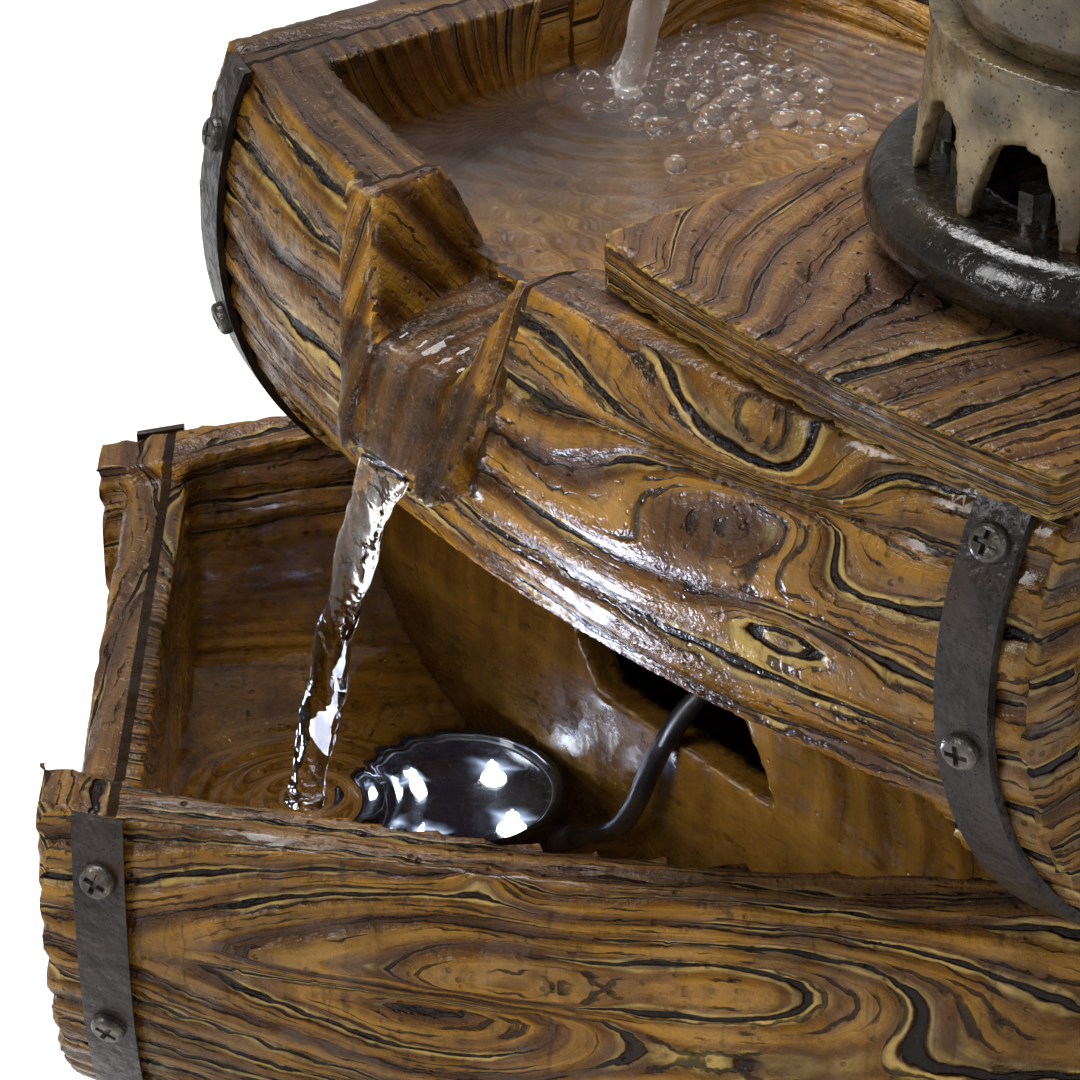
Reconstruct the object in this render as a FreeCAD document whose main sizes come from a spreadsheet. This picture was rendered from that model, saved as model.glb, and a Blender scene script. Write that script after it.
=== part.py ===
import FreeCAD, Part
import math
import os
import Sketcher
from FreeCAD import Placement, Rotation, Vector

# Garden fountain: a half barrel on its side holds the lower pool, a hollow pedestal stands in it and
# carries a smaller half barrel with a spill chute, and an old hand pump stands on that barrel's lid.
# Frame: origin on the ground under the middle of the lower barrel, X along it, Y away, Z up.

doc = FreeCAD.newDocument("Fountain")
sheet = doc.addObject("Spreadsheet::Sheet", "Sizes")
row = 0


class Num:
    """A number together with the sheet expression that gives it."""

    def __init__(self, value, text=None):
        self.value = float(value)
        self.text = text if text is not None else "(%.9g)" % float(value)

    def __float__(self):
        return self.value

    def __add__(self, other):
        other = num(other)
        return Num(self.value + other.value, "(%s + %s)" % (self.text, other.text))

    def __radd__(self, other):
        return num(other) + self

    def __sub__(self, other):
        other = num(other)
        return Num(self.value - other.value, "(%s - %s)" % (self.text, other.text))

    def __rsub__(self, other):
        return num(other) - self

    def __mul__(self, other):
        other = num(other)
        return Num(self.value * other.value, "(%s * %s)" % (self.text, other.text))

    def __rmul__(self, other):
        return num(other) * self

    def __truediv__(self, other):
        other = num(other)
        return Num(self.value / other.value, "(%s / %s)" % (self.text, other.text))

    def __rtruediv__(self, other):
        return num(other) / self

    def __neg__(self):
        return Num(-self.value, "(0 - %s)" % self.text)


def num(value):
    return value if isinstance(value, Num) else Num(value)


def root(value):
    return Num(math.sqrt(value.value), "sqrt(%s)" % value.text)


def cosine(angle):
    return Num(math.cos(math.radians(angle.value)), "cos(%s)" % angle.text)


def sine(angle):
    return Num(math.sin(math.radians(angle.value)), "sin(%s)" % angle.text)


def size(name, value):
    """Puts a driving dimension in the sheet under its own alias."""
    global row
    row += 1
    sheet.set("A%d" % row, name)
    sheet.set("B%d" % row, str(value))
    sheet.setAlias("B%d" % row, name)
    return Num(value, "Sizes." + name)


def bind(thing, path, value):
    value = num(value)
    if path.isidentifier():
        setattr(thing, path, value.value)
    if "Sizes." in value.text:
        thing.setExpression(path, value.text)


def put(thing, x=0, y=0, z=0, turn=0.0):
    """Places an object, turned about Z."""
    base = Vector(float(x), float(y), float(z))
    thing.Placement = Placement(base, Rotation(Vector(0, 0, 1), float(turn)))
    bind(thing, "Placement.Base.x", x)
    bind(thing, "Placement.Base.y", y)
    bind(thing, "Placement.Base.z", z)
    return thing


TURNS = {"XY": Rotation(), "XZ": Rotation(Vector(1, 0, 0), 90), "YZ": Rotation(Vector(1, 1, 1), 120)}


def loose_sketch(name, plane, at=(0, 0, 0)):
    """A sketch of its own for the solid operations."""
    made = doc.addObject("Sketcher::SketchObject", name)
    made.Placement = Placement(Vector(*[float(c) for c in at]), TURNS[plane])
    for axis, coordinate in zip("xyz", at):
        bind(made, "Placement.Base." + axis, coordinate)
    return made


def closed(made, points):
    """Closed outline through (x, y) or (x, y, arc radius to the next point).

    A positive radius swells to the right of the way along, a negative one to the left.
    """
    shapes = []
    ends = []
    first = made.GeometryCount
    count = len(points)
    for index in range(count):
        here = points[index]
        there = points[(index + 1) % count]
        start = Vector(float(here[0]), float(here[1]), 0)
        stop = Vector(float(there[0]), float(there[1]), 0)
        if len(here) == 3:
            radius = float(here[2])
            along = stop - start
            rise = abs(radius) - math.sqrt(radius * radius - along.Length ** 2 / 4)
            side = Vector(along.y, -along.x, 0).normalize() * math.copysign(rise, radius)
            arc = Part.Arc(start, (start + stop) / 2 + side, stop)
            made.addGeometry(arc, False)
            near = made.getPoint(first + index, 1)
            flipped = near.distanceToPoint(start) > near.distanceToPoint(stop)
            ends.append((2, 1) if flipped else (1, 2))
            shapes.append("arc")
        else:
            made.addGeometry(Part.LineSegment(start, stop), False)
            ends.append((1, 2))
            shapes.append("line")
    for index in range(count):
        here = points[index]
        after = (index + 1) % count
        made.addConstraint(Sketcher.Constraint("Coincident", first + index, ends[index][1],
                                               first + after, ends[after][0]))
        for kind, coordinate in zip(("DistanceX", "DistanceY"), here):
            coordinate = num(coordinate)
            place = made.addConstraint(Sketcher.Constraint(kind, -1, 1, first + index, ends[index][0],
                                                           coordinate.value))
            bind(made, "Constraints[%d]" % place, coordinate)
        if shapes[index] == "arc":
            radius = num(here[2])
            radius = radius if radius.value > 0 else -radius
            place = made.addConstraint(Sketcher.Constraint("Radius", first + index, radius.value))
            bind(made, "Constraints[%d]" % place, radius)
    return made


def circle(made, x, y, radius):
    index = made.addGeometry(Part.Circle(Vector(float(x), float(y), 0), Vector(0, 0, 1), float(radius)))
    for kind, coordinate in (("DistanceX", x), ("DistanceY", y)):
        coordinate = num(coordinate)
        place = made.addConstraint(Sketcher.Constraint(kind, -1, 1, index, 3, coordinate.value))
        bind(made, "Constraints[%d]" % place, coordinate)
    radius = num(radius)
    place = made.addConstraint(Sketcher.Constraint("Radius", index, radius.value))
    bind(made, "Constraints[%d]" % place, radius)
    return made


def revolved(name, outline, axis, z=0, y=0):
    made = doc.addObject("Part::Revolution", name)
    made.Source = outline
    made.Axis = axis
    made.Base = Vector(0, 0, 0)
    made.Angle = 360
    made.Solid = True
    return put(made, 0, y, z)


def extruded(name, outline, length, direction=Vector(0, 0, 1)):
    made = doc.addObject("Part::Extrusion", name)
    made.Base = outline
    made.DirMode = "Custom"
    made.Dir = direction
    made.Solid = True
    bind(made, "LengthFwd", length)
    return made


def lofted(name, sections):
    made = doc.addObject("Part::Loft", name)
    made.Sections = sections
    made.Solid = True
    made.Ruled = True
    return made


def block(name, low, high):
    """Box between two opposite corners."""
    made = doc.addObject("Part::Box", name)
    for side, a, b in zip(("Length", "Width", "Height"), low, high):
        bind(made, side, num(b) - num(a))
    return put(made, *low)


def rod(name, radius, height, x=0, y=0, z=0):
    made = doc.addObject("Part::Cylinder", name)
    bind(made, "Radius", radius)
    bind(made, "Height", height)
    return put(made, x, y, z)


def less(name, base, tool):
    made = doc.addObject("Part::Cut", name)
    made.Base = base
    made.Tool = tool
    return made


def joined(name, shapes):
    made = doc.addObject("Part::MultiFuse", name)
    made.Shapes = shapes
    return made


def shared(name, shapes):
    made = doc.addObject("Part::MultiCommon", name)
    made.Shapes = shapes
    return made


def mirrored(name, source, normal):
    made = doc.addObject("Part::Mirroring", name)
    made.Source = source
    made.Base = Vector(0, 0, 0)
    made.Normal = normal
    return made


def copies(name, master, places):
    """One piece repeated at several places, as a set of loose solids."""
    made = doc.addObject("Part::Feature", name)
    doc.recompute()
    solids = []
    for place in places:
        solid = master.Shape.copy()
        solid.Placement = place.multiply(solid.Placement)
        solids.append(solid)
    made.Shape = Part.makeCompound(solids)
    return made


class Piece:
    """A body with sketches on its own origin planes."""

    def __init__(self, label):
        self.body = doc.addObject("PartDesign::Body", label)
        self.body.Label = label

    def origin(self, role):
        return [f for f in self.body.Origin.OriginFeatures if f.Role == role][0]

    def sketch(self, plane, offset=0):
        made = self.body.newObject("Sketcher::SketchObject", self.body.Name + "_outline")
        made.AttachmentSupport = (self.origin(plane + "_Plane"), [""])
        made.MapMode = "FlatFace"
        made.AttachmentOffset = Placement(Vector(0, 0, float(offset)), Rotation())
        bind(made, "AttachmentOffset.Base.z", offset)
        return made

    def feature(self, kind, outline=None):
        made = self.body.newObject("PartDesign::" + kind, self.body.Name + "_" + kind.lower())
        if outline is not None:
            made.Profile = outline
            outline.Visibility = False
        return made

    def pad(self, outline, length):
        made = self.feature("Pad", outline)
        bind(made, "Length", length)
        return made

    def pocket(self, outline, length, reverse=False):
        before = self.volume()
        made = self.feature("Pocket", outline)
        made.Reversed = reverse
        bind(made, "Length", length)
        doc.recompute()
        if self.body.Shape.Volume > before - 1e-3:
            made.Reversed = not reverse
            doc.recompute()
        if self.body.Shape.Volume > before - 1e-3:
            raise RuntimeError(made.Name + " removes nothing")
        return made

    def volume(self):
        doc.recompute()
        return self.body.Shape.Volume

    def turned(self, outline, axis="V_Axis", kind="Revolution"):
        before = self.volume() if kind == "Groove" else 0.0
        made = self.feature(kind, outline)
        made.ReferenceAxis = (outline, [axis])
        made.Angle = 360
        if kind == "Groove":
            doc.recompute()
            if self.body.Shape.Volume > before - 1e-3:
                raise RuntimeError(made.Name + " removes nothing")
        return made

    def around(self, feature, count, axis="Z_Axis"):
        made = self.feature("PolarPattern")
        made.Originals = [feature]
        made.Axis = (self.origin(axis), [""])
        made.Angle = 360
        made.Occurrences = count
        self.body.Tip = made
        return made

    def rounded(self, edges, radius):
        base = self.body.Tip
        made = self.feature("Fillet")
        made.Base = (base, edges)
        bind(made, "Radius", radius)
        return made

    def edges(self, test):
        doc.recompute()
        names = []
        for index, edge in enumerate(self.body.Shape.Edges):
            if test(edge):
                names.append("Edge%d" % (index + 1))
        return names

    def at(self, x=0, y=0, z=0, turn=0.0):
        put(self.body, x, y, z, turn)
        return self.body


nodes = {}


def keep(label, thing):
    """Names a finished sub-part, which is also the name of its file."""
    thing.Label = label
    nodes[label] = thing
    return thing


# Sizes: lower barrel
basin_length = size("basin_length", 400)
basin_end_radius = size("basin_end_radius", 70.5)
basin_belly_radius = size("basin_belly_radius", 105.5)
basin_axis_height = size("basin_axis_height", 80)
basin_rim_height = size("basin_rim_height", 102)
basin_wall = size("basin_wall", 12)
basin_floor = size("basin_floor", 13)
basin_head = size("basin_head", 12)
basin_chime = size("basin_chime", 6)
basin_head_drop = size("basin_head_drop", 3)
hoop_width = size("hoop_width", 9.5)
hoop_thickness = size("hoop_thickness", 1.6)
basin_hoop_inset = size("basin_hoop_inset", 11.6)
big = size("clearing_length", 900)
screw_head_radius = size("screw_head_radius", 3.3)
screw_head_height = size("screw_head_height", 1.9)
screw_shank_radius = size("screw_shank_radius", 1.5)
screw_shank_length = size("screw_shank_length", 8)
screw_cross_length = size("screw_cross_length", 3.6)
screw_cross_width = size("screw_cross_width", 0.8)
screw_cross_depth = size("screw_cross_depth", 0.9)
basin_screw_upper_drop = size("basin_screw_upper_drop", 11)
basin_screw_lower_drop = size("basin_screw_lower_drop", 45)
grommet_x = size("grommet_place", 90)
grommet_height = size("grommet_height", 90)
grommet_hole_radius = size("grommet_hole_radius", 7)
grommet_bore_radius = size("grommet_bore_radius", 4)
grommet_lip = size("grommet_lip", 2.5)
grommet_lip_length = size("grommet_lip_length", 2)

# Sizes: upper barrel
upper_turn = size("upper_turn", -52)
upper_x = size("upper_x", -45)
upper_y = size("upper_y", 3.4)
cask_half = size("cask_half_length", 116)
cask_bulge = size("cask_bulge", 22.5)
cask_tube = size("cask_side_radius", 71.5)
cask_centre = size("cask_centre_height", 165)
cask_rim = size("cask_rim_height", 197)
cask_foot = size("cask_foot_height", 103)
cask_under = size("cask_underside_height", 135)
cask_floor_thickness = size("cask_floor_thickness", 12)
cask_wall = size("cask_wall", 12)
cask_head_depth = size("cask_head_depth", 20.5)
cask_chime = size("cask_chime", 4)
under_left = size("underside_left", 90)
under_right = size("underside_right", 95)
chute_top_left = size("chute_top_left", 52.3)
chute_top_right = size("chute_top_right", 9.5)
chute_top_front = size("chute_top_front", 87)
chute_foot_left = size("chute_foot_left", 32.5)
chute_foot_right = size("chute_foot_right", 3.6)
chute_foot_front = size("chute_foot_front", 104.5)
chute_foot = size("chute_foot_height", 156)
chute_root = size("chute_root", 66)
sill_height = size("sill_height", 175)
sill_left = size("sill_left", 30)
sill_right = size("sill_right", 9)
sill_front = size("sill_front", 94.4)
sill_back_left = size("sill_back_left", 47)
channel_left = size("channel_left", 45.2)
channel_right = size("channel_right", 0.2)
channel_flare = size("channel_flare", 6)
lip_left = size("lip_left", 27.6)
lip_right = size("lip_right", 11.4)
lip_front = size("lip_front", 101)
pool_rim_width = size("pool_rim_width", 52)
pool_mid_width = size("pool_mid_width", 42)
pool_mid_height = size("pool_mid_height", 182)
pool_floor_width = size("pool_floor_width", 30)
pump_place = size("pump_place", 65.4)
pump_side = size("pump_side", -3.5)
riser_offset = size("riser_offset", 10)
hose_outer = size("hose_outer_radius", 6)
hose_wall = size("hose_wall", 1.5)
seal_radius = size("riser_seal_radius", 9)
seal_lip = size("riser_seal_lip", 3)
seal_lip_length = size("riser_seal_lip_length", 2)
cask_hoop_inset = size("cask_hoop_inset", 10.5)
right_upper_screw_height = size("right_upper_screw_height", 190)
right_lower_screw_height = size("right_lower_screw_height", 153)
left_upper_screw_height = size("left_upper_screw_height", 184)
left_lower_screw_height = size("left_lower_screw_height", 145)

# Sizes: pedestal
stand_half_width = size("stand_half_width", 36.5)
stand_wall = size("stand_wall", 8)
stand_left = size("stand_left", 130)
stand_right = size("stand_right", 125)
chamber_left = size("chamber_left", 84)
chamber_right = size("chamber_right", 74)
neck_left = size("neck_left", 20)
neck_start = size("neck_start_height", 70)
neck_reach = size("neck_reach", 38)
neck_curve = size("neck_curve", 62)
door_sill = size("opening_sill_height", 74)
door_left_foot = size("opening_left_foot", 39)
door_left_top = size("opening_left_top", 48)
door_crown = size("opening_crown_height", 96)
door_right_turn = size("opening_right_turn", 2)
door_right_turn_height = size("opening_right_turn_height", 91.2)
door_right_middle = size("opening_right_middle", 8.6)
door_right_middle_height = size("opening_right_middle_height", 82)
door_right_foot = size("opening_right_foot", 12.5)
hatch_half_width = size("hatch_half_width", 30)
hatch_low = size("hatch_low", 30)
hatch_high = size("hatch_high", 92)
hatch_gap = size("hatch_gap", 0.4)
hatch_plug = size("hatch_plug_depth", 6)
hatch_lip = size("hatch_lip", 4)
hatch_plate = size("hatch_plate_thickness", 3)
hatch_slot_width = size("hatch_slot_width", 4)
hatch_slot_pitch = size("hatch_slot_pitch", 9)
hatch_knob_radius = size("hatch_knob_radius", 5)
hatch_knob_length = size("hatch_knob_length", 8)

# Sizes: lid over the right half of the barrel
deck_thickness = size("deck_thickness", 9)
deck_left = size("deck_left", 8)
deck_right = size("deck_right", 117)
deck_half_left = size("deck_half_width_left", 78)
deck_half_right = size("deck_half_width_right", 74.8)
deck_hole_radius = size("deck_hole_radius", 12)
deck_groove_depth = size("deck_groove_depth", 1.2)
deck_plank = size("deck_plank_width", 20)

# Sizes: hand pump
flange_radius = size("flange_radius", 48.8)
flange_roll = size("flange_roll_radius", 7)
flange_bore = size("flange_bore_radius", 30)
skirt_foot_radius = size("skirt_foot_radius", 41)
skirt_waist_radius = size("skirt_waist_radius", 39)
skirt_height = size("skirt_height", 27)
skirt_wall = size("skirt_wall", 4)
skirt_shelf = size("skirt_shelf_height", 5)
arch_half_width = size("arch_half_width", 8.6)
arch_height = size("arch_height", 17)
barrel_radius = size("pump_barrel_radius", 36.5)
barrel_bore = size("pump_barrel_bore", 31)
barrel_length = size("pump_barrel_length", 149)
neck_groove = size("rim_groove_depth", 2.5)
collar_radius = size("collar_radius", 41)
collar_height = size("collar_height", 8)
bolt_ring = size("skirt_bolt_ring_radius", 33.6)
bolt_radius = size("skirt_bolt_radius", 2.9)
bolt_height = size("skirt_bolt_height", 5)
washer_radius = size("skirt_washer_radius", 3.4)
spout_rise = size("spout_rise", 71)
spout_radius = size("spout_radius", 8.5)
spout_bore = size("spout_bore_radius", 5.5)
spout_bend = size("spout_bend", 24)
spout_run = size("spout_run", 48)
spout_drop = size("spout_drop_bend", 30)
spout_end = size("spout_end_length", 8)
spout_leg = size("spout_leg", 38)
cap_flange = size("cap_flange_thickness", 5)
cap_boss_radius = size("cap_boss_radius", 16)
cap_boss_rise = size("cap_boss_rise", 20)
rod_radius = size("plunger_rod_radius", 3)
rod_clearance = size("plunger_rod_clearance", 0.3)
cap_bolt_ring = size("cap_bolt_ring_radius", 36)
pivot_x = size("pivot_place", 28)
pivot_rise = size("pivot_rise", 42)
pin_radius = size("handle_pin_radius", 2.5)
pin_clearance = size("handle_pin_clearance", 0.05)
fork_angle = size("fork_angle", 20)
fork_reach = size("fork_reach", 38)
fork_end_half = size("fork_end_radius", 6)
fork_tip_half = size("fork_tip_half_height", 5.4)
fork_root_half = size("fork_root_half_height", 7)
boss_radius = size("handle_boss_radius", 8)
handle_half = size("handle_half_width", 7.4)
fork_gap_half = size("fork_gap_half", 3.5)
rod_pin_radius = size("rod_pin_radius", 2)
slot_clearance = size("slot_clearance", 0.55)
slot_extra = size("slot_extra_length", 1)
ear_gap = size("ear_gap", 0.6)
ear_thickness = size("ear_thickness", 4)
ear_half = size("ear_half_length", 7.5)
stop_gap = size("stop_gap", 0.5)
arm_half = size("arm_half_width", 4.5)
arm_shoulder_x = size("arm_shoulder_x", 74)
arm_shoulder_drop = size("arm_shoulder_drop", 30)
arm_depth = size("arm_depth", 12)
arm_tip_x = size("arm_tip_x", 86)
arm_tip_drop = size("arm_tip_drop", 108)
arm_tip_depth = size("arm_tip_depth", 10)
knob_radius = size("handle_knob_radius", 8)
knob_half = size("handle_knob_half_width", 6.5)
piston_drop = size("piston_drop", 10)
piston_height = size("piston_height", 10)
piston_clearance = size("piston_clearance", 0.4)
eye_radius = size("eye_radius", 6)
eye_half = size("eye_half_thickness", 2.9)
rod_pin_head = size("rod_pin_head", 1.5)

# Sizes: submersible pump in the stand
motor_height = size("motor_axis_height", 36)
motor_length = size("motor_length", 38)
motor_width = size("motor_width", 38)
motor_body_height = size("motor_body_height", 40)
motor_corner = size("motor_corner", 5)
foot_height = size("foot_height", 3)
foot_inset = size("foot_inset", 6)
foot_radius = size("foot_radius", 4.5)
foot_rim = size("foot_rim_height", 1.4)
rotor_room_radius = size("rotor_room_radius", 15)
rotor_room_depth = size("rotor_room_depth", 10)
rotor_bore = size("rotor_bore_radius", 6.5)
rotor_bore_depth = size("rotor_bore_depth", 20)
rotor_gap = size("rotor_gap", 0.4)
blade_thickness = size("blade_thickness", 1.4)
blade_length = size("blade_height", 7)
hub_radius = size("hub_radius", 4.5)
shaft_radius = size("rotor_shaft_radius", 1.25)
shaft_clearance = size("rotor_shaft_clearance", 0.05)
shaft_seat = size("rotor_shaft_seat", 3)
outlet_place = size("outlet_place", 20)
cover_thickness = size("cover_thickness", 3)
cover_clearance = size("cover_clearance", 0.3)
motor_gland_inset = size("motor_gland_inset", 6)
motor_gland_radius = size("motor_gland_radius", 4.5)
motor_gland_height = size("motor_gland_height", 7)
motor_cord_radius = size("motor_cord_radius", 2.5)
strainer_depth = size("strainer_depth", 16)
strainer_wall = size("strainer_wall", 1.8)
strainer_slot = size("strainer_slot_width", 2.4)
dial_radius = size("dial_radius", 7)
dial_thickness = size("dial_thickness", 2.5)
barb_length = size("barb_length", 14)
outlet_radius = size("outlet_radius", 6.5)
outlet_height = size("outlet_height", 8)
clamp_width = size("clamp_width", 5)
clamp_thickness = size("clamp_thickness", 1)

# Sizes: light on the lower pool's floor
light_reach = size("light_reach", 81.4)
light_y = size("light_y", 11.8)
light_radius = size("light_radius", 22)
light_height = size("light_height", 18)
light_wall = size("light_wall", 2.2)
light_base = size("light_base", 4)
cup_height = size("cup_height", 2)
cup_radius = size("cup_radius", 5)
board_thickness = size("board_thickness", 1.6)
emitter_ring = size("emitter_ring", 12.8)
emitter_radius = size("emitter_radius", 2.75)
emitter_height = size("emitter_height", 3.4)
emitter_crown = size("emitter_crown_radius", 1.9)
emitter_turn = size("emitter_turn", 58)
lens_thickness = size("lens_thickness", 3)
cable_radius = size("cable_radius", 2.25)
cable_turn = size("cable_exit_turn", -25)
gland_turn = size("gland_turn", -38)
gland_lift = size("gland_lift", 38)
connector_radius = size("connector_radius", 4.5)
connector_length = size("connector_length", 28)
clip_place = size("clip_place", 44)
clip_width = size("clip_width", 7)
clip_height = size("clip_height", 14)
gland_length = size("light_gland_length", 6)

# Places that follow from the sizes of what carries them
basin_hoop_place = basin_length / 2 - basin_hoop_inset
cask_hoop_place = cask_half - cask_hoop_inset
cask_head_inner = cask_half - cask_head_depth
cask_floor = cask_under + cask_floor_thickness
light_x = upper_x - light_reach
deck_top = cask_rim + deck_thickness
flange_top = deck_top + 2 * flange_roll
skirt_rim_height = flange_top + skirt_height
barrel_top = skirt_rim_height + barrel_length
spout_height = skirt_rim_height + spout_rise
spout_foot = spout_height - spout_leg
cap_boss_top = barrel_top + cap_boss_rise
pivot_height = barrel_top + pivot_rise
arm_shoulder_height = pivot_height - arm_shoulder_drop
arm_tip_height = pivot_height - arm_tip_drop
piston_top = barrel_top - piston_drop

X = Vector(1, 0, 0)
Y = Vector(0, 1, 0)
Z = Vector(0, 0, 1)

# Lower barrel

basin_half = basin_length / 2
basin_rise = basin_belly_radius - basin_end_radius
basin_arc = (basin_half * basin_half + basin_rise * basin_rise) / (2 * basin_rise)


def basin_radius(x, inset):
    """Radius of the lower barrel at x, a wall of inset below its surface."""
    arc = basin_arc - inset
    return root(arc * arc - x * x) - (basin_arc - basin_belly_radius)


def basin_form(name, half, inset):
    outline = loose_sketch(name + "_outline", "XZ")
    end = basin_radius(half, inset)
    closed(outline, [(-half, 0), (half, 0), (half, end, basin_arc - inset), (-half, end)])
    return revolved(name, outline, X, basin_axis_height)


basin_skin = basin_form("basin_skin", basin_half, num(0))
basin_hollow = basin_form("basin_hollow", basin_half + 1, basin_wall)
stave_block = block("stave_block", (-basin_half - 5, -big / 2, 0), (basin_half + 5, big / 2, basin_rim_height))
basin_solid = shared("basin_solid", [basin_skin, stave_block])
inner_half = basin_half - basin_chime - basin_head
pool_space = block("pool_space", (-inner_half, -big / 2, basin_floor), (inner_half, big / 2, big / 2))
head_line = basin_rim_height - basin_head_drop
head_top_space = block("head_top_space", (-big / 2, -big / 2, head_line), (big / 2, big / 2, big / 2))
chime_right = block("chime_right", (basin_half - basin_chime, -big / 2, -big / 2),
                    (big / 2, big / 2, big / 2))
chime_left = mirrored("chime_left", chime_right, X)
basin_spaces = joined("basin_spaces", [pool_space, head_top_space, chime_right, chime_left])
basin_room = shared("basin_room", [basin_hollow, basin_spaces])
basin_open = less("basin_open", basin_solid, basin_room)

# Hoop band that lies on the staves
hoop_low = basin_hoop_place - hoop_width / 2
hoop_high = basin_hoop_place + hoop_width / 2
hoop_outline = loose_sketch("basin_hoop_outline", "XZ")
closed(hoop_outline, [
    (hoop_low, basin_radius(hoop_low, num(0)), -basin_arc),
    (hoop_high, basin_radius(hoop_high, num(0))),
    (hoop_high, basin_radius(hoop_high, -hoop_thickness), basin_arc + hoop_thickness),
    (hoop_low, basin_radius(hoop_low, -hoop_thickness)),
])
hoop_ring = revolved("basin_hoop_ring", hoop_outline, X, basin_axis_height)
hoop_band = shared("basin_hoop_band", [hoop_ring, stave_block])

# Pan-head screw with a cross recess, head underside at its own origin
screw = Piece("hoop_screw_form")
outline = screw.sketch("XZ")
closed(outline, [
    (0, -screw_shank_length),
    (screw_shank_radius, -screw_shank_length),
    (screw_shank_radius, 0),
    (screw_head_radius, 0),
    (screw_head_radius, screw_head_height * 0.35, 4 * screw_head_radius / 2.4),
    (0, screw_head_height),
])
screw.turned(outline)
outline = screw.sketch("XY", screw_head_height)
arm = screw_cross_length / 2
slit = screw_cross_width / 2
closed(outline, [
    (-arm, -slit), (-slit, -slit), (-slit, -arm), (slit, -arm), (slit, -slit), (arm, -slit),
    (arm, slit), (slit, slit), (slit, arm), (-slit, arm), (-slit, slit), (-arm, slit),
])
screw.pocket(outline, screw_cross_depth)
doc.recompute()
pilot = rod("screw_pilot", screw_shank_radius, screw_shank_length + 2, 0, 0, -screw_shank_length)


def facing(position, normal):
    """Placement that stands a piece on a surface."""
    return Placement(position, Rotation(Vector(0, 0, 1), normal))


basin_screw_drops = (basin_screw_upper_drop, basin_screw_lower_drop)


def basin_screw_places():
    places = []
    x = basin_hoop_place.value
    arc = basin_arc.value + hoop_thickness.value
    radius = basin_radius(basin_hoop_place, -hoop_thickness).value
    for drop in basin_screw_drops:
        height = basin_rim_height.value - drop.value - basin_axis_height.value
        angle = math.asin(height / radius)
        for end in (-1, 1):
            for side in (-1, 1):
                out = Vector(0, side * math.cos(angle), math.sin(angle))
                lean = math.sqrt(arc * arc - x * x)
                position = out * radius + Vector(end * x, 0, basin_axis_height.value)
                places.append(facing(position, out * lean + Vector(end * x, 0, 0)))
    return places


basin_screws = copies("basin_screw_set", screw.body, basin_screw_places())
basin_pilots = copies("basin_pilot_set", pilot, basin_screw_places())
keep("lower_hoop_screws", basin_screws)
hoop_right = less("hoop_right", hoop_band, basin_pilots)
keep("lower_hoop_right", hoop_right)
keep("lower_hoop_left", mirrored("hoop_left", hoop_right, X))

# Round cable entry with a rubber grommet through the back staves, above the water
grommet_middle = basin_radius(grommet_x, basin_wall / 2)
grommet_reach = basin_wall / 2 + 2.5
grommet_slot = loose_sketch("grommet_slot", "XZ",
                            (grommet_x, grommet_middle + grommet_reach + 8, grommet_height))
circle(grommet_slot, 0, 0, grommet_hole_radius)
grommet_drill = extruded("grommet_drill", grommet_slot, 2 * grommet_reach + 16, Vector(0, -1, 0))
basin_cut = joined("basin_cut", [basin_pilots, grommet_drill])
basin = less("basin", basin_open, basin_cut)
keep("lower_basin", basin)
grommet = Piece("grommet_form")
outline = grommet.sketch("XZ")
closed(outline, [
    (grommet_bore_radius, -grommet_reach),
    (grommet_hole_radius + grommet_lip, -grommet_reach),
    (grommet_hole_radius + grommet_lip, -grommet_reach + grommet_lip_length),
    (grommet_hole_radius, -grommet_reach + grommet_lip_length),
    (grommet_hole_radius, grommet_reach - grommet_lip_length),
    (grommet_hole_radius + grommet_lip, grommet_reach - grommet_lip_length),
    (grommet_hole_radius + grommet_lip, grommet_reach),
    (grommet_bore_radius, grommet_reach),
])
grommet.turned(outline)
grommet.body.Placement = Placement(Vector(0, 0, 0), Rotation(Vector(1, 0, 0), 90))
for axis, coordinate in zip("xyz", (grommet_x, grommet_middle, grommet_height)):
    bind(grommet.body, "Placement.Base." + axis, coordinate)
keep("cord_grommet", less("grommet_seated", grommet.body, basin))

# Upper barrel
# Its own frame: x along the barrel, front at -y, turned and set over the pedestal
cask_sweep = (cask_half * cask_half + cask_bulge * cask_bulge) / (2 * cask_bulge)


def tube_width(height, radius):
    rise = height - cask_centre
    return root(radius * radius - rise * rise)


def cask_side(name, points):
    """Turned solid whose outer part is one long side of the barrel."""
    outline = loose_sketch(name + "_outline", "XZ")
    path = [(0, points[0][1])]
    for point in points:
        path.append((cask_sweep + point[0],) + tuple(point[1:]))
    path.append((0, points[-1][1]))
    closed(outline, path)
    front = revolved(name + "_front", outline, Z, 0, cask_sweep - cask_bulge)
    back = mirrored(name + "_back", front, Y)
    return shared(name, [front, back])


def cask_skin(name, extra, low, high):
    radius = cask_tube + extra
    return cask_side(name, [(tube_width(low, radius), low, radius), (tube_width(high, radius), high)])


cask_form = cask_skin("cask_form", num(0), cask_foot, cask_rim)
cask_length_block = block("cask_length_block", (-cask_half, -big / 2, 0), (cask_half, big / 2, big / 2))
cask_mass = shared("cask_mass", [cask_form, cask_length_block])
underside_space = block("underside_space", (-under_left, -big / 2, 0), (under_right, big / 2, cask_under))

# Spill chute: an outer block on the front staves and the channel cut through it

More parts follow.
